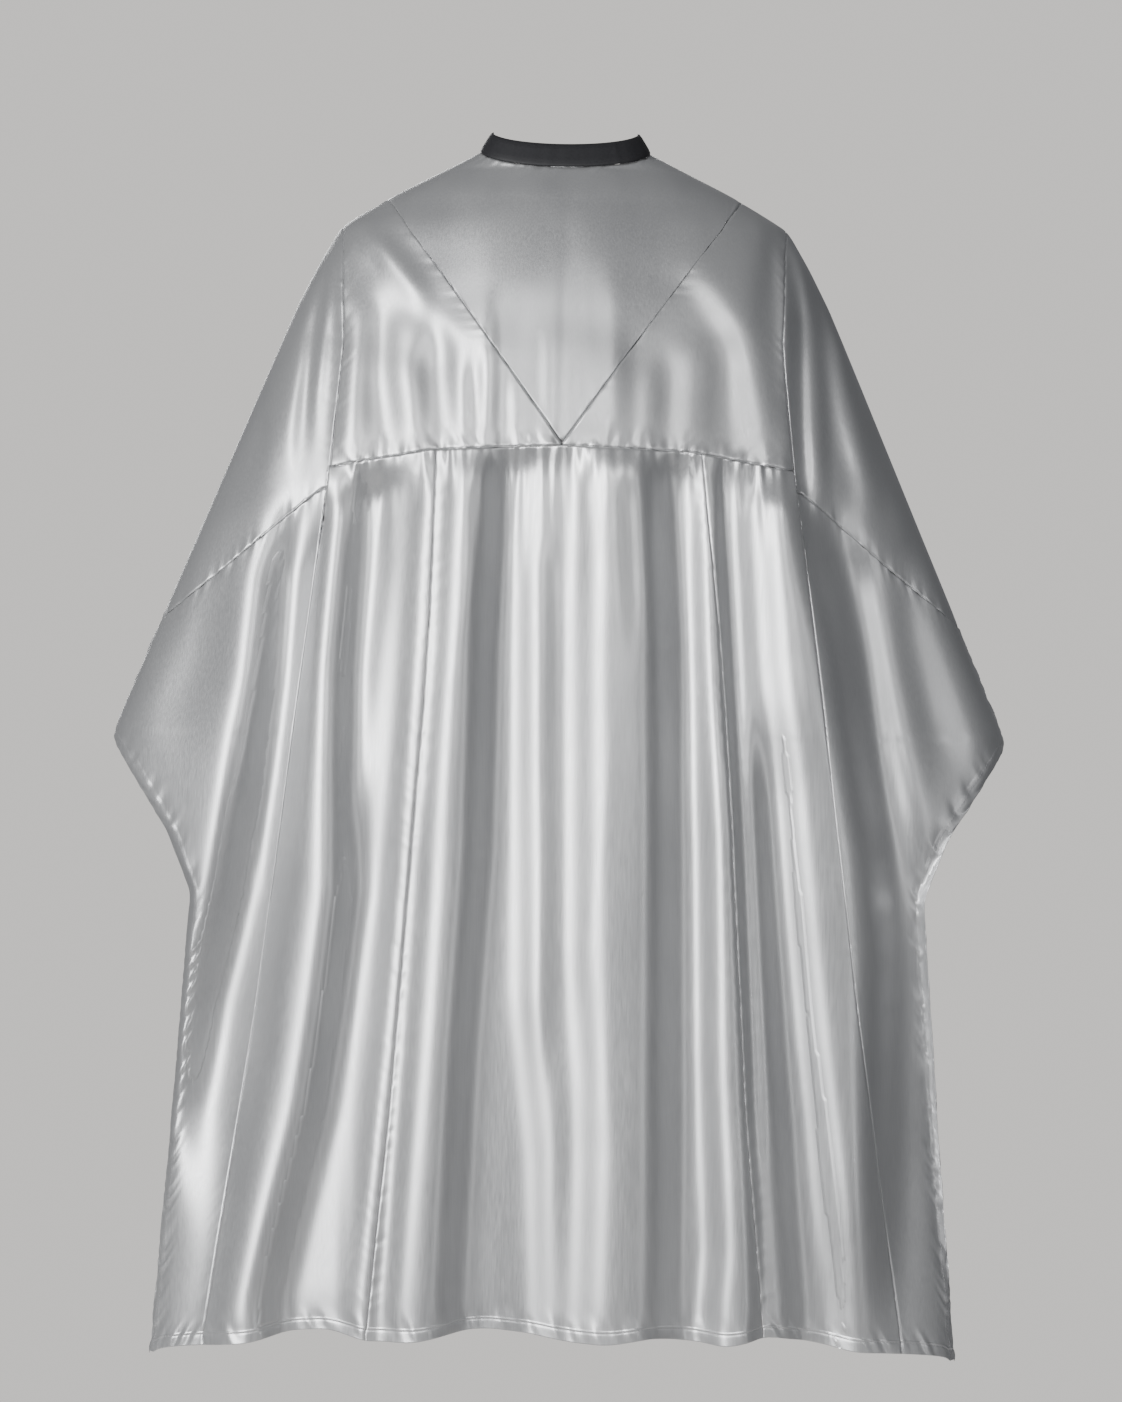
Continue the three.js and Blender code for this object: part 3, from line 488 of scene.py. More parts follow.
def hem_wave(points):
    """Lift of the cloth near the hem."""
    x, _ = as_seen(points)
    at, lift = np.array(HEM_WAVES).T * MM
    wave = np.interp(x, at, lift)
    wave = 0.25 * (np.interp(x - 9 * MM, at, lift) + 2 * wave + np.interp(x + 9 * MM, at, lift))
    above = points[..., 2] - hem_z(np.abs(points[..., 0]))
    return wave * np.exp(-np.clip(above, 0, None) / HEM_WAVE_REACH)


def front_drape(points, phi, z_true):
    """Height of the front's folds at points of the form."""
    x, z = as_seen(points)
    line = np.interp(x, RASTER_X, CHEST_LINE)
    body = np.abs(points[..., 0]) < side_seam_x(z_true)
    blend = ease((z - SLEEVE_BLEND[0]) / (SLEEVE_BLEND[1] - SLEEVE_BLEND[0]))
    share = np.where(body, (z > line).astype(float), blend)
    upper, lower = sampled(UPPER_FIELD, x, z), sampled(LOWER_FIELD, x, z)
    height = share * upper + (1 - share) * lower
    quiet = ease((np.pi / 2 - np.abs(phi)) / 0.22)
    return height * quiet


# ---------------------------------------------------------------- panels of cloth

def stops(length, near=(0.0, 0.8, 1.7, 3.0, 5.0), grid=GRID):
    """Shares 0..1 along a length: even steps, with closer ones near both ends."""
    near = np.array(near) * MM
    inner = length - 2 * near[-1]
    middle = near[-1] + np.linspace(0, inner, max(2, int(round(inner / grid))) + 1)[1:-1]
    return np.concatenate([near, middle, length - near[::-1]]) / length


def coons(edges, across, down):
    """Grid of (turn, z) between four edges."""
    s, t = across[None, :], down[:, None]
    start, end = edges["start"](down), edges["end"](down)
    top, bottom = edges["top"](across), edges["bottom"](across)
    grids = []
    for k in range(2):
        sides = (1 - s) * start[k][:, None] + s * end[k][:, None]
        caps = (1 - t) * top[k][None, :] + t * bottom[k][None, :]
        upper = (1 - s) * top[k][0] + s * top[k][-1]
        lower = (1 - s) * bottom[k][0] + s * bottom[k][-1]
        grids.append(sides + caps - (1 - t) * upper - t * lower)
    return grids


def grid_normals(points, outward):
    """Unit normals of a grid of points, turned to the outward side."""
    across = np.gradient(points, axis=1)
    down = np.gradient(points, axis=0)
    normals = np.cross(across, down)
    length = np.linalg.norm(normals, axis=-1, keepdims=True)
    normals = np.where(length > 1e-12, normals / np.maximum(length, 1e-12), outward)
    flip = np.sign((normals * outward).sum(-1, keepdims=True))
    return normals * np.where(flip == 0, 1, flip)


def run_lengths(points, axis):
    """Distance along the grid lines from their first point."""
    step = np.linalg.norm(np.diff(points, axis=axis), axis=-1)
    zero = np.zeros_like(np.take(step, [0], axis))
    return np.concatenate([zero, np.cumsum(step, axis)], axis)


def noise_line(rng, position, pitch):
    """Smooth seeded noise, about -1 to 1, along a distance."""
    cell = np.floor(position / pitch).astype(int)
    values = rng.uniform(-1, 1, cell.max() - cell.min() + 3)
    first = cell - cell.min()
    share = ease(position / pitch - cell)
    return values[first] * (1 - share) + values[first + 1] * share


# Sewn edges: the puckers' height, pitch, spread (mm) and slant, the groove's depth and half width.
SEWN = {
    "seam": (0.5, 5.5, 7, 0.6, 1.0, 1.0),
    "soft_seam": (0.2, 6, 6, 0.0, 0.8, 0.8),
    "gather": (1.2, 5.2, 8, 0.0, 1.2, 1.0),
}


def edge_relief(rng, kind, away, along):
    """Height of the work along one edge: a sewn seam, a turned hem or a plain fold."""
    if kind in SEWN:
        tall, pitch, spread, slant, depth, half = SEWN[kind]
        pucker = tall * MM * noise_line(rng, along + slant * away, pitch * MM)
        groove = depth * SEAM_DEPTH * np.exp(-((away / (half * SEAM_HALF)) ** 2))
        return pucker * np.exp(-away / (spread * MM)) - groove
    if kind == "hem":
        rise = HEM_RISE * (1 - ease((away - HEM_WIDTH) / (1.0 * MM) + 0.5))
        stitch = -0.45 * MM * np.exp(-(((away - STITCH_INSET) / (0.9 * MM)) ** 2))
        pucker = 1.25 * MM * noise_line(rng, along + 0.5 * away, 6.4 * MM)
        pucker *= np.exp(-(((away - 0.75 * HEM_WIDTH) / (0.85 * HEM_WIDTH)) ** 2))
        wave = 0.6 * MM * noise_line(rng, along, 24 * MM) * np.exp(-away / HEM_WIDTH)
        return rise + stitch + pucker + wave
    return np.zeros_like(away)


def shell(name, outer, inner):
    """A closed thin mesh between two grids of points."""
    rows, columns = outer.shape[:2]
    points = np.concatenate([outer.reshape(-1, 3), inner.reshape(-1, 3)])
    index = np.arange(rows * columns).reshape(rows, columns)
    under = index + rows * columns

    def quads(a, b, c, d):
        return np.stack([a.ravel(), b.ravel(), c.ravel(), d.ravel()], -1)

    faces = [
        quads(index[:-1, :-1], index[1:, :-1], index[1:, 1:], index[:-1, 1:]),
        quads(under[:-1, :-1], under[:-1, 1:], under[1:, 1:], under[1:, :-1]),
    ]
    for rim, low_rim in ((index[:, 0], under[:, 0]), (index[::-1, -1], under[::-1, -1])):
        faces.append(quads(rim[:-1], low_rim[:-1], low_rim[1:], rim[1:]))
    for rim, low_rim in ((index[0, ::-1], under[0, ::-1]), (index[-1], under[-1])):
        faces.append(quads(rim[:-1], low_rim[:-1], low_rim[1:], rim[1:]))
    mesh = bpy.data.meshes.new(name)
    mesh.from_pydata(points.tolist(), [], np.concatenate(faces).tolist())
    return finished(name, mesh)


def finished(name, mesh, merge=0.01 * MM):
    """Links a mesh as a smooth object with its normals outward and no stray faces."""
    work = bmesh.new()
    work.from_mesh(mesh)
    bmesh.ops.remove_doubles(work, verts=work.verts, dist=merge)
    bmesh.ops.dissolve_degenerate(work, edges=work.edges, dist=0.5 * merge)
    bmesh.ops.recalc_face_normals(work, faces=work.faces)
    work.to_mesh(mesh)
    work.free()
    mesh.validate()
    for face in mesh.polygons:
        face.use_smooth = True
    obj = bpy.data.objects.new(name, mesh)
    bpy.context.scene.collection.objects.link(obj)
    return obj


def panel(node, edges, kinds, size, side="front", under=False):
    """One sewn panel of satin that stands for a CAD node.

    The edges are start, end, top and bottom, kinds says how each is finished, and size is the
    panel's rough width and length, which set the grid's spacing.
    """
    rng = np.random.default_rng(sum(map(ord, node)))
    across, down = stops(size[0]), stops(size[1])
    if kinds[3] == "hem":
        down = with_hem(down, size[1])
    phi, z = coons(edges, across, down)
    limit = np.pi / 2 - 1e-4
    phi = np.clip(phi, -limit, limit)
    front = side == "front"
    base = front_form(phi, z) if front else back_form(phi, z, under)
    toward = np.array([0.0, -1.0 if front else 1.0, 0.0])
    outward = base - np.stack([0 * z, 0 * z, z - 0.25], -1)
    normals = grid_normals(base, outward)
    along_rows, along_columns = run_lengths(base, 1), run_lengths(base, 0)
    away = [
        along_rows,
        along_rows[:, -1:] - along_rows,
        along_columns,
        along_columns[-1:] - along_columns,
    ]
    runs = [along_columns, along_columns, along_rows, along_rows]
    relief = np.zeros_like(z)
    for kind, distance, along in zip(kinds, away, runs):
        relief += edge_relief(rng, kind, distance, along)
    drape = front_drape(base, phi, z) if front else back_drape(base, phi, z)
    if "yoke" in node:
        drape = drape * ease(away[2] / (40 * MM))
    points = base + toward * drape[..., None] + normals * relief[..., None]
    if front:
        points[..., 2] += hem_wave(base)
    normals = grid_normals(points, outward)
    obj = shell(f"{node}_cloth", points, points - normals * CLOTH)
    dress(obj, SATIN, "satin", "cape", node)
    threads = hem_stitches(node, kinds, points, normals, away)
    width, length = run_lengths(points, 1)[:, -1].max(), run_lengths(points, 0)[-1].max()


STITCH_PITCH = 3.4 * MM
STITCH_LENGTH = 2.5 * MM
STITCH_RISE = np.array([(0.0, -0.12), (0.14, 0.10), (0.5, 0.17), (0.86, 0.10), (1.0, -0.12)])
THREAD_RADIUS = 0.17 * MM
THREAD_SIDES = 6


def ring_faces(rings, count, first=0):
    """Faces that join rings of points, one after another, and close both ends."""
    last = first + (rings - 1) * count
    faces = [tuple(range(first, first + count)), tuple(range(last, last + count))]
    for low in range(first, last, count):
        for i in range(count):
            j = (i + 1) % count
            faces.append((low + i, low + j, low + count + j, low + count + i))
    return faces


def loft(name, rings, merge=0.01 * MM):
    """A closed object through rings that have equal numbers of points."""
    mesh = bpy.data.meshes.new(name)
    faces = ring_faces(len(rings), len(rings[0]))
    mesh.from_pydata([point for ring in rings for point in ring], [], faces)
    return finished(name, mesh, merge)


def line_at(distance, away, points, normals):
    """Points and normals where each grid line crosses a distance from an edge."""
    lines = []
    for run, line, up in zip(away, points, normals):
        order = np.argsort(run)
        lines.append([np.interp(distance, run[order], v[order]) for v in (*line.T, *up.T)])
    lines = np.array(lines)
    return lines[:, :3], lines[:, 3:]


def stitch_meshes(path, normals):
    """Corner points and faces of the stitches along a path."""
    run = run_lengths(path[None], 1)[0]
    starts = np.arange(0.5 * STITCH_PITCH, run[-1] - STITCH_PITCH, STITCH_PITCH)
    along, lift = STITCH_RISE.T * np.array([[STITCH_LENGTH], [MM]])
    at = starts[:, None] + along[None, :]
    centre = np.stack([np.interp(at, run, path[:, k]) for k in range(3)], -1)
    up = np.stack([np.interp(at, run, normals[:, k]) for k in range(3)], -1)
    ahead = centre[:, -1:] - centre[:, :1]
    side = np.cross(np.broadcast_to(ahead, up.shape), up)
    side /= np.maximum(np.linalg.norm(side, axis=-1, keepdims=True), 1e-9)
    centre = centre + up * lift[None, :, None]
    turns = np.arange(THREAD_SIDES) * 2 * np.pi / THREAD_SIDES
    ring = side[:, :, None] * np.cos(turns)[None, None, :, None]
    ring = ring + up[:, :, None] * np.sin(turns)[None, None, :, None]
    points = (centre[:, :, None] + THREAD_RADIUS * ring).reshape(-1, 3)
    each = len(along) * THREAD_SIDES
    faces = []
    for first in range(0, len(starts) * each, each):
        faces += ring_faces(len(along), THREAD_SIDES, first)
    return points, faces


def stitch_object(name, rows, material, slot, body):
    """One object of thread for several rows of stitches, each a path with its normals."""
    points, faces = [], []
    for path, normals in rows:
        more, cells = stitch_meshes(path, normals)
        offset = sum(len(p) for p in points)
        points.append(more)
        faces += [tuple(i + offset for i in cell) for cell in cells]
    mesh = bpy.data.meshes.new(name)
    mesh.from_pydata(np.concatenate(points).tolist(), [], faces)
    return dress(finished(name, mesh, merge=0.001 * MM), material, slot, body)


def hem_stitches(node, kinds, points, normals, away):
    """The hems' single lines of stitching."""
    rows = [
        line_at(STITCH_INSET, away[edge], points, normals)
        for edge in (0, 1)
        if kinds[edge] == "hem"
    ]
    if kinds[3] == "hem":
        turned = [np.swapaxes(grid, 0, 1) for grid in (points, normals)]
        rows.append(line_at(STITCH_INSET, away[3].T, *turned))
    if not rows:
        return []
    return [stitch_object(f"{node}_stitches", rows, THREAD, "satin", "cape")]


def with_hem(down, length):
    """Adds rows at the hem's stitch line."""
    edge = 1 - HEM_WIDTH / length
    extra = edge + np.array([-1.0, -0.5, 0.0, 0.5, 1.0, 1.6, 2.2, 3.0]) * MM / length
    keep = down[(down < edge - 2.2 * MM / length) | (down > edge + 4.0 * MM / length)]
    return np.sort(np.concatenate([keep, extra]))


def repaint(data, material):
    data.materials.clear()
    data.materials.append(material)


def dress(obj, material, slot, body, *nodes):
    """Gives a piece its material and body, and hides the CAD nodes that it stands for. The slot is
    not used.
    """
    repaint(obj.data, material)
    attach(obj, body)
    if nodes:
        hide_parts(*nodes)
    return obj


# ---------------------------------------------------------------- materials


def node_material(name):
    material = bpy.data.materials.new(name)
    material.use_nodes = True
    tree = material.node_tree
    return material, tree, tree.nodes["Principled BSDF"]


def add(tree, kind, **inputs):
    node = tree.nodes.new(kind)
    for key, value in inputs.items():
        node.inputs[key.replace("_", " ")].default_value = value
    return node


def noise(tree, scale, detail, stretch=(1.0, 1.0, 1.0)):
    """Noise over the object's own coordinates, stretched along some axes."""
    place = tree.nodes.new("ShaderNodeTexCoord")
    mapping = add(tree, "ShaderNodeMapping", Scale=stretch)
    texture = add(tree, "ShaderNodeTexNoise", Scale=scale, Detail=detail)
    tree.links.new(place.outputs["Object"], mapping.inputs["Vector"])
    tree.links.new(mapping.outputs["Vector"], texture.inputs["Vector"])
    return texture.outputs["Fac"]


def vary(tree, factor, socket, low, high, places=(0.3, 0.7)):
    """Drives a socket between two colours, or two values, as a factor rises."""
    ramp = tree.nodes.new("ShaderNodeValToRGB")
    for element, place, value in zip(ramp.color_ramp.elements, places, (low, high)):
        element.position = place
        element.color = (*(value if isinstance(value, tuple) else (value,) * 3), 1)
    tree.links.new(factor, ramp.inputs["Fac"])
    tree.links.new(ramp.outputs["Color"], socket)


def emboss(tree, factor, socket, strength, depth):
    """A bump from a factor into a normal socket; returns the bump's own normal socket."""
    bump = add(tree, "ShaderNodeBump", Strength=strength, Distance=depth)
    tree.links.new(factor, bump.inputs["Height"])
    tree.links.new(bump.outputs["Normal"], socket)
    return bump.inputs["Normal"]


def weighted(tree, first, share, second):
    """share * first + (1 - share) * second."""
    product = tree.nodes.new("ShaderNodeMath")
    product.operation = "MULTIPLY"
    product.inputs[1].default_value = 1 - share
    total = tree.nodes.new("ShaderNodeMath")
    total.operation = "MULTIPLY_ADD"
    total.inputs[1].default_value = share
    tree.links.new(second, product.inputs[0])
    tree.links.new(first, total.inputs[0])
    tree.links.new(product.outputs[0], total.inputs[2])
    return total.outputs[0]


def satin_material():
    """Silver polyester satin: bright floats down the cloth, a soft metallic sheen."""
    material, tree, shader = node_material("silver_satin")
    streaks = noise(tree, 900, 3, (1.0, 1.0, 0.03))
    clouds = noise(tree, 14, 2, (1.0, 1.0, 0.35))
    tone = weighted(tree, streaks, 0.35, clouds)
    vary(tree, tone, shader.inputs["Base Color"], (0.47, 0.475, 0.485), (0.60, 0.605, 0.61))
    vary(tree, streaks, shader.inputs["Roughness"], 0.33, 0.42)
    shader.inputs["Metallic"].default_value = 0.7
    shader.inputs["Sheen Weight"].default_value = 0.15
    shader.inputs["Sheen Roughness"].default_value = 0.4
    weave = noise(tree, 700, 1, (0.4, 0.4, 1.0))
    under = emboss(tree, weave, shader.inputs["Normal"], 0.05, 0.4 * MM)
    emboss(tree, noise(tree, 1400, 2, (1.0, 1.0, 0.06)), under, 0.10, 0.4 * MM)
    return material


def band_material():
    """Black taffeta of the neckband, with a fine rib and a little dust-grey sheen."""
    material, tree, shader = node_material("black_band_cloth")
    rib = noise(tree, 1500, 2, (1.0, 1.0, 0.2))
    vary(tree, rib, shader.inputs["Base Color"], (0.006, 0.006, 0.008), (0.016, 0.016, 0.019))
    vary(tree, rib, shader.inputs["Roughness"], 0.56, 0.72)
    shader.inputs["Sheen Weight"].default_value = 0.08
    shader.inputs["Sheen Roughness"].default_value = 0.35
    emboss(tree, rib, shader.inputs["Normal"], 0.25, 0.4 * MM)
    return material


def stiffener_material():
    """Off-white bonded interlining: felted fibres."""
    material, tree, shader = node_material("bonded_interlining")
    fibres = noise(tree, 450, 4)
    vary(tree, fibres, shader.inputs["Base Color"], (0.62, 0.61, 0.58), (0.78, 0.77, 0.74))
    shader.inputs["Roughness"].default_value = 0.95
    emboss(tree, fibres, shader.inputs["Normal"], 0.3, 0.3 * MM)
    return material


def snap_material():
    """Nickel-plated brass of the snaps, lightly scuffed."""
    material, tree, shader = node_material("nickel_plate")
    scuffs, places = noise(tree, 600, 5), (0.35, 0.65)
    plate = (0.58, 0.57, 0.55), (0.72, 0.71, 0.69)
    vary(tree, scuffs, shader.inputs["Base Color"], *plate, places)
    vary(tree, scuffs, shader.inputs["Roughness"], 0.16, 0.30, places)
    shader.inputs["Metallic"].default_value = 1.0
    return material


def thread_material():
    """Grey polyester sewing thread, twisted."""
    material, tree, shader = node_material("grey_thread")
    twist = noise(tree, 2500, 1)
    vary(tree, twist, shader.inputs["Base Color"], (0.30, 0.30, 0.31), (0.42, 0.42, 0.43))
    shader.inputs["Roughness"].default_value = 0.55
    emboss(tree, twist, shader.inputs["Normal"], 0.3, 0.2 * MM)
    return material


SATIN = satin_material()
THREAD = thread_material()
BAND_CLOTH = band_material()

# ---------------------------------------------------------------- front panels

SIDE = np.pi / 2  # turn of the silhouette
END_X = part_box("front_yoke")[1].x
END_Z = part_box("upper_front_right")[1].z  # where the yoke's seam meets the silhouette
CROSS_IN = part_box("side_panel_right")[1].z
CROSS_OUT = -0.470  # the sleeve's cross seam at the silhouette
CENTRE_SHIFT = np.array([  # (height, how far the centre panel hangs to the right)
    (-1.18, 0.0115), (-0.94, 0.012), (-0.55, 0.0145), (-0.46, 0.013), (-0.30, 0.0065), (-0.29, 0),
])


def lerp(a, b, t):
    return a + (b - a) * t


def pair_of(name, sign, edges, kinds, size, side="front"):
    """One of a left and right pair of panels: the left is the right's mirror image."""
    if sign < 0:
        edges = mirrored(edges)
    node = f"{name}_{'right' if sign > 0 else 'left'}"
    panel(node, edges, kinds, size, side, under=side == "back" and sign > 0)


def mirrored(edges):
    def flip(edge):
        return lambda t: (lambda pair: (-pair[0], pair[1]))(edge(t))

    return {key: flip(edge) for key, edge in edges.items()}


def between_ends(t, first, middle, last):
    """A value along an edge whose two ends are exact."""
    return np.where(t == 0, first, np.where(t == 1, last, middle))


def silhouette(top, low):
    """An edge down the side, between two heights."""
    return lambda t: (SIDE + 0 * t, lerp(top, low, t))


def front_yoke():
    def neckline(s):
        phi = lerp(-SIDE, SIDE, s)
        return phi, NECK_RISE - (NECK_RISE - NECK_FRONT_DIP) * np.cos(phi) ** 2

    def seam(s):
        x = lerp(-END_X, END_X, s)
        z = yoke_z(np.abs(x))
        return between_ends(s, -SIDE, turn_at(x, z), SIDE), between_ends(s, END_Z, z, END_Z)

    edges = {
        "start": lambda t: (-SIDE + 0 * t, lerp(NECK_RISE, END_Z, t)),
        "end": silhouette(NECK_RISE, END_Z),
        "top": neckline,
        "bottom": seam,
    }
    panel("front_yoke", edges, ("fold", "fold", "gather", "seam"), (0.42, 0.277))


def upper_front(sign):
    side_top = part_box("upper_sleeve_right")[1].z
    seam_low = float(chest_z(CHEST_END))

    def v_seam(t):
        x = lerp(END_X, 0.0, t)
        z = yoke_z(x)
        return np.where(t == 0, SIDE, turn_at(x, z)), np.where(t == 0, END_Z, z)

    def sleeve_seam(t):
        z = lerp(side_top, seam_low, t)
        return np.where(t == 0, SIDE, turn_at(side_seam_x(z), z)), z

    def chest(s):
        x = lerp(0.0, float(side_seam_x(np.array(seam_low))), s)
        z = between_ends(s, yoke_z(0.0), chest_z(x), seam_low)
        return turn_at(x, z), z

    edges = {
        "start": v_seam,
        "end": sleeve_seam,
        "top": lambda s: (SIDE + 0 * s, lerp(END_Z, side_top, s)),
        "bottom": chest,
    }
    pair_of("upper_front", sign, edges, ("seam", "seam", "fold", "gather"), (0.24, 0.28))


def cross_line(s):
    """The sleeve's cross seam, from the side seam out to the silhouette."""
    x = lerp(float(side_seam_x(np.array(CROSS_IN))), float(half_width(CROSS_OUT)), s)
    z = between_ends(s, CROSS_IN, cross_z(x), CROSS_OUT)
    return np.where(s == 1, SIDE, turn_at(x, z)), z


def upper_sleeve(sign):
    top_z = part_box("upper_sleeve_right")[1].z

    def inner(t):
        z = lerp(top_z, CROSS_IN, t)
        return np.where(t == 0, SIDE, turn_at(side_seam_x(z), z)), z

    edges = {
        "start": inner,
        "end": silhouette(top_z, CROSS_OUT),
        "top": lambda s: (SIDE + 0 * s, top_z + 0 * s),
        "bottom": cross_line,
    }
    pair_of("upper_sleeve", sign, edges, ("seam", "fold", "fold", "gather"), (0.21, 0.33))


def side_panel(sign):
    inner_low = float(hem_z(float(_lower_seam(PANEL_LOW)) + 0.5 * MM))

    def inner(t):
        z = lerp(CROSS_IN, inner_low, t)
        return turn_at(side_seam_x(z), z), z

    def hem(s):
        x = lerp(float(side_seam_x(np.array(inner_low))), float(half_width(BOTTOM)), s)
        z = np.where(s == 1, BOTTOM, hem_z(x))
        return np.where(s == 1, SIDE, turn_at(x, z)), z

    edges = {
        "start": inner,
        "end": silhouette(CROSS_OUT, BOTTOM),
        "top": cross_line,
        "bottom": hem,
    }
    pair_of("side_panel", sign, edges, ("soft_seam", "hem", "gather", "hem"), (0.17, 0.78))


def lower_front(name, left_x, right_x, kinds, width):
    """A lower front panel between two lines that are functions of height."""

    def column(line):
        def edge(t):
            top = float(chest_z(abs(float(line(np.array(PANEL_TOP))))))
            low = float(hem_z(abs(float(line(np.array(PANEL_LOW))))))
            z = lerp(top, low, t)
            return turn_at(line(z), z), z

        return edge

    def row(level, line_z):
        def edge(s):
            x = lerp(float(left_x(np.array(level))), float(right_x(np.array(level))), s)
            z = line_z(np.abs(x))
            return turn_at(x, z), z

        return edge

    edges = {
        "start": column(left_x),
        "end": column(right_x),
        "top": row(PANEL_TOP, chest_z),
        "bottom": row(PANEL_LOW, hem_z),
    }
    panel(name, edges, (*kinds, "gather", "hem"), (width, 0.86))


def shifted_seam(side):
    """A seam of the lower centre panel, which hangs a little to the right of the middle."""
    return lambda z: side * panel_seam_x(z) + np.interp(z, *CENTRE_SHIFT.T)


def front_panels():
    front_yoke()
    for sign in (-1, 1):
        upper_front(sign)
        upper_sleeve(sign)
        side_panel(sign)
    left, right = shifted_seam(-1), shifted_seam(1)
    lower_front("lower_front_centre", left, right, ("seam", "seam"), 0.36)
    outer = "lower_front_side"
    lower_front(f"{outer}_left", lambda z: -side_seam_x(z), left, ("soft_seam", "seam"), 0.16)
    lower_front(f"{outer}_right", right, side_seam_x, ("seam", "soft_seam"), 0.16)


# ---------------------------------------------------------------- back panels


BACK_FOLDS = 400.0  # the folds lie within this many millimetres of the middle


def back_field():
    """Soft hanging folds of the back, from seeded flanks."""
    rng = np.random.default_rng(5)
    flanks = []
    x, slope = -BACK_FOLDS, 1
    while x < BACK_FOLDS:
        x += rng.uniform(18, 34)
        strength = slope * rng.uniform(0.18, 0.42)
        slope = -slope
        spread = 1 + rng.uniform(0.06, 0.14)
        flanks.append((strength, rng.uniform(9, 15), [(-170, x), (-570, x * spread)]))
    return fold_height(flanks)


BACK_FIELD = back_field()


def back_drape(points, phi, z):
    height = sampled(BACK_FIELD, points[..., 0], points[..., 2])
    quiet = ease((np.pi / 2 - np.abs(phi)) / 0.42)
    middle = ease((np.abs(points[..., 0]) - 10 * MM) / (60 * MM))
    below = ease((-0.11 - z) / 0.09)
    return height * quiet * middle * below


def neckline_back(phi):
    level = 1 - (NECK_FLAT / NECK_HALF) ** 2
    return NECK_RISE - (NECK_RISE - NECK_BACK_DIP) * np.minimum(1, np.cos(phi) ** 2 / level)


BACK_SEAM_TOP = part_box("back_body_right")[1].z


def back_edge(top, low):
    """A panel's edge a little past the centre line, between two heights."""

    def edge(t):
        z = lerp(top, low, t)
        return turn_at(-BACK_EDGE, z), z

    return edge


def back_yoke(sign):
    seam_end = float(back_seam_x(BACK_SEAM_TOP))

    def top(s):
        phi = lerp(float(turn_at(-BACK_EDGE, NECK_BACK_DIP)), SIDE, s)
        return phi, neckline_back(phi)

    def seam(s):
        x = lerp(-BACK_EDGE, float(half_width(BACK_SEAM_TOP)), s)
        z = back_yoke_z(-np.minimum(np.abs(x), seam_end - 2 * MM))
        z = np.where(s == 1, BACK_SEAM_TOP, np.where(x < 0, BACK_YOKE_LOW, z))
        return np.where(s == 1, SIDE, turn_at(x, z)), z

    edges = {
        "start": back_edge(NECK_BACK_DIP, BACK_YOKE_LOW),
        "end": silhouette(NECK_RISE, BACK_SEAM_TOP),
        "top": top,
        "bottom": seam,
    }
    pair_of("back_yoke", sign, edges, ("hem", "fold", "gather", "seam"), (0.26, 0.148), "back")


def back_body(sign):
    def sleeve(t):
        z = lerp(BACK_SEAM_TOP, BACK_HEM, t)
        return turn_at(back_seam_x(z), z), z

    def top(s):
        x = lerp(-BACK_EDGE, float(back_seam_x(BACK_SEAM_TOP)), s)
        z = np.where(x < 0, BACK_YOKE_LOW, back_yoke_z(-np.abs(x)))
        z = np.where(s == 1, BACK_SEAM_TOP, z)
        return turn_at(x, z), z

    def hem(s):
        x = lerp(-BACK_EDGE, float(back_seam_x(BACK_HEM)), s)
        return turn_at(x, BACK_HEM), BACK_HEM + 0 * x

    start = back_edge(BACK_YOKE_LOW, BACK_HEM)
    edges = {"start": start, "end": sleeve, "top": top, "bottom": hem}
    kinds = ("hem", "soft_seam", "gather", "hem")
    pair_of("back_body", sign, edges, kinds, (0.33, 0.45), "back")


def back_sleeve(sign):
    def inner(t):
        z = lerp(BACK_SEAM_TOP, BACK_HEM, t)
        return np.where(t == 0, SIDE, turn_at(back_seam_x(z), z)), z

    def hem(s):
        x = lerp(float(back_seam_x(BACK_HEM)), float(half_width(BACK_HEM)), s)
        return np.where(s == 1, SIDE, turn_at(x, BACK_HEM)), BACK_HEM + 0 * x

    edges = {
        "start": inner,
        "end": silhouette(BACK_SEAM_TOP, BACK_HEM),
        "top": lambda s: (SIDE + 0 * s, BACK_SEAM_TOP + 0 * s),
        "bottom": hem,
    }
    kinds = ("soft_seam", "fold", "fold", "hem")
    pair_of("back_sleeve", sign, edges, kinds, (0.26, 0.50), "back")


front_panels()
for side_sign in (-1, 1):
    back_yoke(side_sign)
    back_body(side_sign)
    back_sleeve(side_sign)

# ---------------------------------------------------------------- neckband

FIT = 0.3 * MM
BAND_THICK = 2.8 * MM
BAND_FRONT_HEIGHT = 22.5 * MM
BAND_SIDE_HEIGHT = 19 * MM
BAND_SIDE_LEAN = 12 * MM
BAND_FRONT_LEAN = 10 * MM
TAB_LOW, TAB_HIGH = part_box("closure_tab")
BAND_START_X = -40 * MM  # free end of the underlap


def band_section(turn, under):
    """Foot and crest of the band's inner face. Turn 0 is behind the neck, pi is the front."""
    c, s = math.cos(turn), math.sin(turn)
    if c < 0:
        z = NECK_RISE - (NECK_RISE - NECK_FRONT_DIP) * c * c
        foot = front_form(np.array(math.pi - turn), np.array(z))
        foot[0] = float(half_width(z)) * s
        lean = 1.0
    else:
        z = float(neckline_back(turn))
        foot = back_form(np.array(turn), np.array(z), under)
        lean = max(0.0, abs(s) - 0.6) / 0.4
    foot = foot + np.array([0, 0, FIT])
    height = lerp(BAND_SIDE_HEIGHT, BAND_FRONT_HEIGHT, c * c)
    crest = foot + np.array([-BAND_SIDE_LEAN * s * lean, BAND_FRONT_LEAN * max(0.0, -c), height])
    return foot, crest


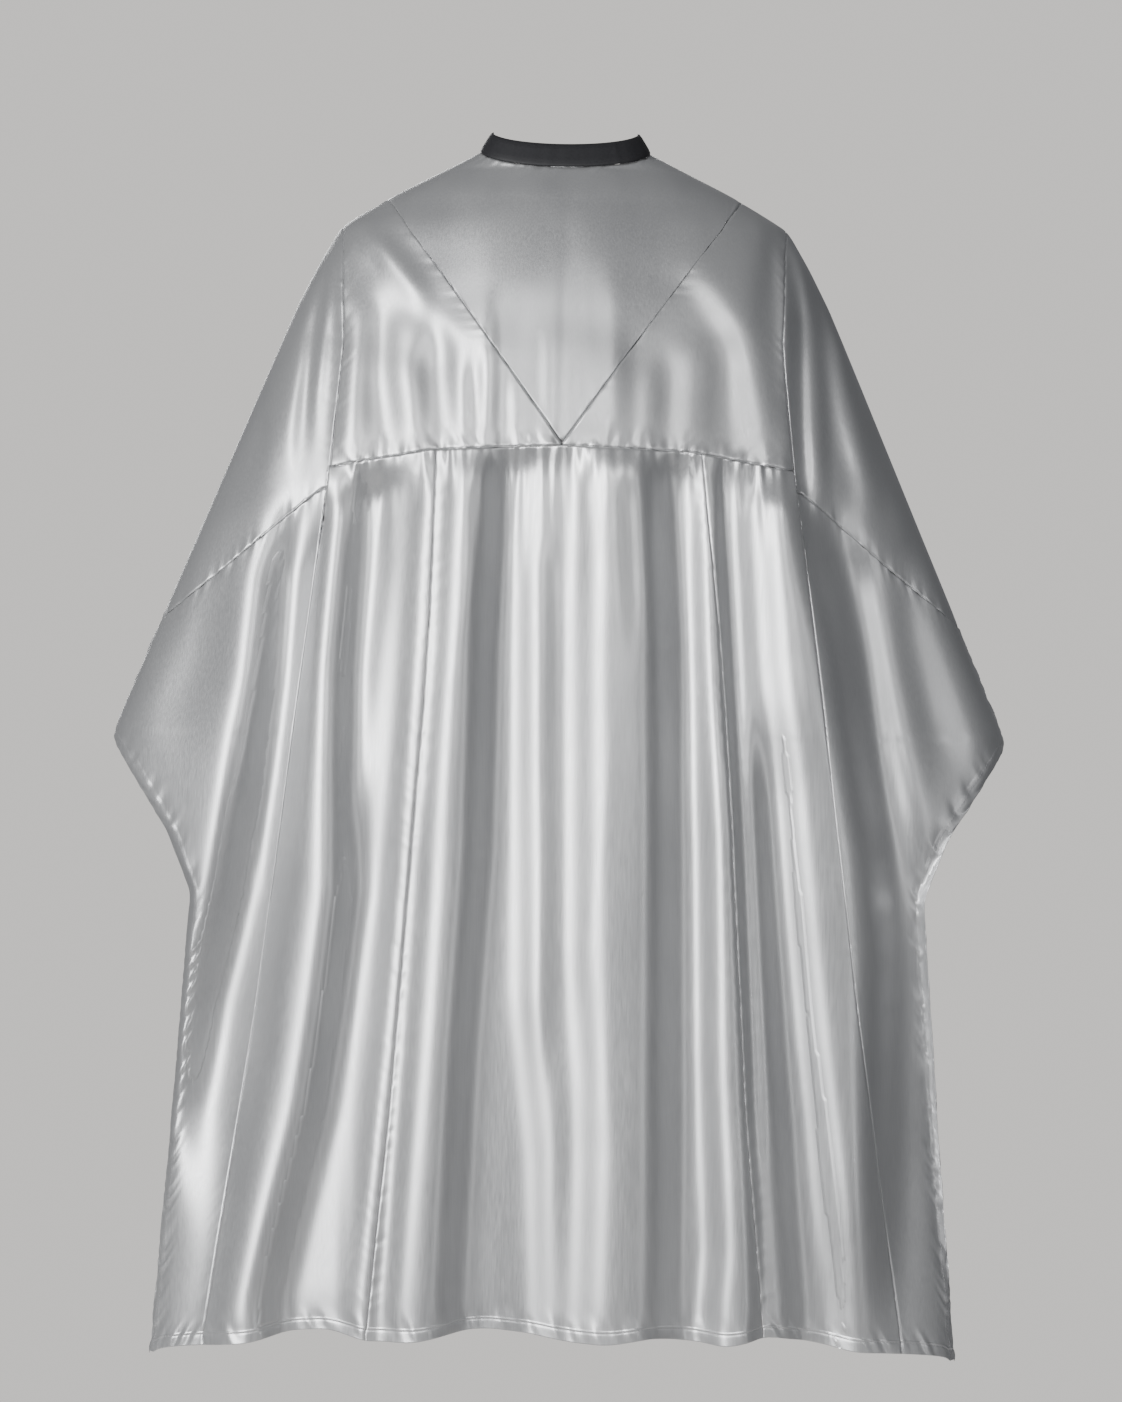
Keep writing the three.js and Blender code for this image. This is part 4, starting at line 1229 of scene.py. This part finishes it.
BAND_STEPS = 320  # grid steps round the neck
BAND_RUN = 0.56  # the band's length, at the least
CROSS_SHARE = np.linspace(0, 1, 15)  # from the band's foot to its crest
BAND_CROWN = 1 - np.abs(2 * CROSS_SHARE - 1) ** 8  # it rolls in at foot and crest
BAND_STITCH = np.exp(-(((np.minimum(CROSS_SHARE, 1 - CROSS_SHARE) - 0.13) / 0.035) ** 2))


def outward_of(turn, under, foot, up):
    """Direction out of the band's face, square to its foot line and to the way up."""
    along = band_section(turn + 0.02, under)[0] - band_section(turn - 0.02, under)[0]
    along[2] = 0
    out = np.cross(along / np.linalg.norm(along), up)
    out /= np.linalg.norm(out)
    return -out if out[0] * foot[0] + out[1] * foot[1] < 0 else out


def band_cloth(name, node, inner, outer, bulge, drop):
    """One cloth of the band; drop is how far it covers the yoke's edge."""
    start = math.asin(BAND_START_X / NECK_HALF)
    end = 2 * math.pi + math.asin((TAB_LOW.x - 2 * FIT) / NECK_HALF)
    rng = np.random.default_rng(len(name))
    run_at = np.linspace(0, BAND_RUN, BAND_STEPS + 1)
    wobble = 0.18 * MM * noise_line(rng, run_at, 6 * MM)
    faces = ([], [])
    for i in range(BAND_STEPS + 1):
        turn = lerp(start, end, i / BAND_STEPS)
        under = turn < math.pi
        foot, crest = band_section(turn, under)
        up = (crest - foot) / np.linalg.norm(crest - foot)
        out = outward_of(turn, under, foot, up)
        line = foot - drop * up + CROSS_SHARE[:, None] * (crest - foot + drop * up)
        middle = BAND_THICK / 2
        depth = wobble[i] * BAND_CROWN - 0.25 * MM * BAND_STITCH
        for face, offset in zip(faces, (outer, inner)):
            reach = middle + (offset - middle) * np.maximum(BAND_CROWN, 0.12) + bulge * depth
            face.append(line + out * reach[:, None])
    outside, inside = np.array(faces)
    obj = shell(name, outside, inside)
    dress(obj, BAND_CLOTH, "band_cloth", "cape", node)
    run = float(run_lengths(outside, 0)[-1, len(CROSS_SHARE) // 2])


band_cloth("neckband_outer_cloth", "neckband_outer", 2.0 * MM, 2.75 * MM, 1, 1.2 * MM)
band_cloth("neckband_lining_cloth", "neckband_lining", 0.8 * MM, 0.05 * MM, -1, 0.0)
repaint(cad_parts["neckband_stiffener"].data, stiffener_material())

TAB_LAYERS = np.array([  # (inset, depth from the inner face)
    (3.0, 0), (1.0, 0.05), (0.3, 0.4), (0.0, 1.0),
]) * MM
TAB_FACE = np.array([  # (inset, depth from the outer face), with the groove of the topstitching
    (0.0, 1.0), (0.3, 0.4), (1.0, 0.1), (1.7, 0.05), (2.1, 0.4), (2.5, 0.05), (3.4, 0),
]) * MM


def closure_tab():
    """The tab that laps over the underlap and carries the caps: a turned-out, topstitched strip."""
    low_z, high_z = TAB_LOW.z, TAB_HIGH.z
    radius = (high_z - low_z) / 2
    centre_z = (low_z + high_z) / 2
    tip_x = TAB_HIGH.x - radius
    arc = np.linspace(-np.pi / 2, np.pi / 2, 25)
    straight = np.linspace(TAB_LOW.x, tip_x, 24)[:-1]

    def outline(inset, y):
        left, r = TAB_LOW.x + inset, radius - inset
        bottom = [(max(x, left), y, low_z + inset) for x in straight]
        turn = [(tip_x + r * math.cos(a), y, centre_z + r * math.sin(a)) for a in arc]
        top = [(max(x, left), y, high_z - inset) for x in straight[::-1]]
        return bottom + turn + top

    layers = [outline(inset, TAB_LOW.y + depth) for inset, depth in TAB_LAYERS]
    layers += [outline(inset, TAB_HIGH.y - depth) for inset, depth in TAB_FACE]
    obj = loft("closure_tab_cloth", layers)
    dress(obj, BAND_CLOTH, "band_cloth", "closure", "closure_tab")


closure_tab()

# ---------------------------------------------------------------- snaps


def cap_profile(r, y0, y1):
    """(radius, y) down a snap's cap, from the end of its barrel to the top of its dome."""
    barrel, rim = 1.6 * MM, y1 - 1.8 * MM
    steps = [(0.5, -0.1), (0.0, 0.2), (0.0, 0.5), (0.4, 0.9), (0.9, 0.95), (1.2, 1.0)]
    edge = [(r - inset * MM, rim + rise * MM) for inset, rise in steps]
    dome = [(0.6 * r, y1 - 0.3 * MM), (0.3 * r, y1 - 0.05 * MM), (0.02 * r, y1)]
    return [(barrel, y0), (barrel, rim - 0.1 * MM), *edge, *dome]


def turned_cap(node, material):
    """A snap's cap, turned about the Y axis through its CAD node's middle."""
    lo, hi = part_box(node)
    x, z = (lo.x + hi.x) / 2, (lo.z + hi.z) / 2
    turns = np.arange(48) * 2 * math.pi / 48
    rings = [
        [(x + radius * math.cos(a), y, z + radius * math.sin(a)) for a in turns]
        for radius, y in cap_profile((hi.x - lo.x) / 2, lo.y, hi.y)
    ]
    obj = loft(f"{node}_turned", rings, merge=0.001 * MM)
    dress(obj, material, "snap_metal", "closure", node)


SNAP = snap_material()
for number in (1, 2):
    turned_cap(f"snap_cap_{number}", SNAP)
for node_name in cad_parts:
    if node_name.startswith(("snap_socket", "snap_stud", "snap_post")):
        repaint(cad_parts[node_name].data, SNAP)

# ---------------------------------------------------------------- stage, light and camera


FLOOR_RADIUS = 1.1
FLOOR_Z = -1.5


def floor():
    mesh = bpy.data.meshes.new("studio_floor")
    turns = np.linspace(0, 2 * math.pi, 96, endpoint=False)
    ring = [(FLOOR_RADIUS * math.cos(a), FLOOR_RADIUS * math.sin(a), FLOOR_Z) for a in turns]
    mesh.from_pydata(ring, [], [tuple(range(len(ring)))])
    obj = bpy.data.objects.new("studio_floor", mesh)
    bpy.context.scene.collection.objects.link(obj)
    material, tree, shader = node_material("pale_floor")
    mottle = noise(tree, 3, 3)
    vary(tree, mottle, shader.inputs["Base Color"], (0.70, 0.68, 0.66), (0.76, 0.74, 0.72))
    shader.inputs["Roughness"].default_value = 0.8
    mesh.materials.append(material)


def area_light(name, place, size, energy):
    """A rectangle of light that faces the middle of the cape."""
    data = bpy.data.lights.new(name, "AREA")
    data.shape = "RECTANGLE"
    data.size, data.size_y = size
    data.energy = energy
    obj = bpy.data.objects.new(name, data)
    obj.location = place
    obj.rotation_euler = (LIGHT_AIM - Vector(place)).to_track_quat("-Z", "Y").to_euler()
    bpy.context.scene.collection.objects.link(obj)


LIGHT_AIM = Vector((0, 0, -0.5))


def studio():
    area_light("key", (-2.4, -3.0, 0.3), (1.4, 2.8), 190)
    area_light("front", (0.2, -4.5, 1.2), (1.4, 1.6), 50)
    area_light("right_fill", (2.3, -3.3, -0.3), (0.5, 2.2), 12)
    area_light("behind", (-0.5, 3.8, 0.3), (1.8, 2.0), 95)
    world = bpy.data.worlds.new("pale_studio")
    world.use_nodes = True
    tree = world.node_tree
    dim = tree.nodes["Background"]
    dim.inputs["Color"].default_value = (0.80, 0.82, 0.86, 1)
    dim.inputs["Strength"].default_value = 0.16
    pale = tree.nodes.new("ShaderNodeBackground")
    pale.inputs["Color"].default_value = (0.80, 0.78, 0.755, 1)
    pale.inputs["Strength"].default_value = 1.0
    path = tree.nodes.new("ShaderNodeLightPath")
    mix = tree.nodes.new("ShaderNodeMixShader")
    tree.links.new(path.outputs["Is Camera Ray"], mix.inputs["Fac"])
    tree.links.new(dim.outputs[0], mix.inputs[1])
    tree.links.new(pale.outputs[0], mix.inputs[2])
    tree.links.new(mix.outputs[0], tree.nodes["World Output"].inputs["Surface"])
    bpy.context.scene.world = world


def camera():
    data = bpy.data.cameras.new("camera")
    data.sensor_width = SENSOR
    data.lens = SENSOR * CAMERA_DISTANCE / VIEW_HEIGHT
    obj = bpy.data.objects.new("camera", data)
    obj.location = (CAMERA_X, -CAMERA_DISTANCE, CAMERA_Z)
    obj.rotation_euler = (math.pi / 2, CAMERA_ROLL, 0)
    bpy.context.scene.collection.objects.link(obj)
    bpy.context.scene.camera = obj


floor()
studio()
camera()
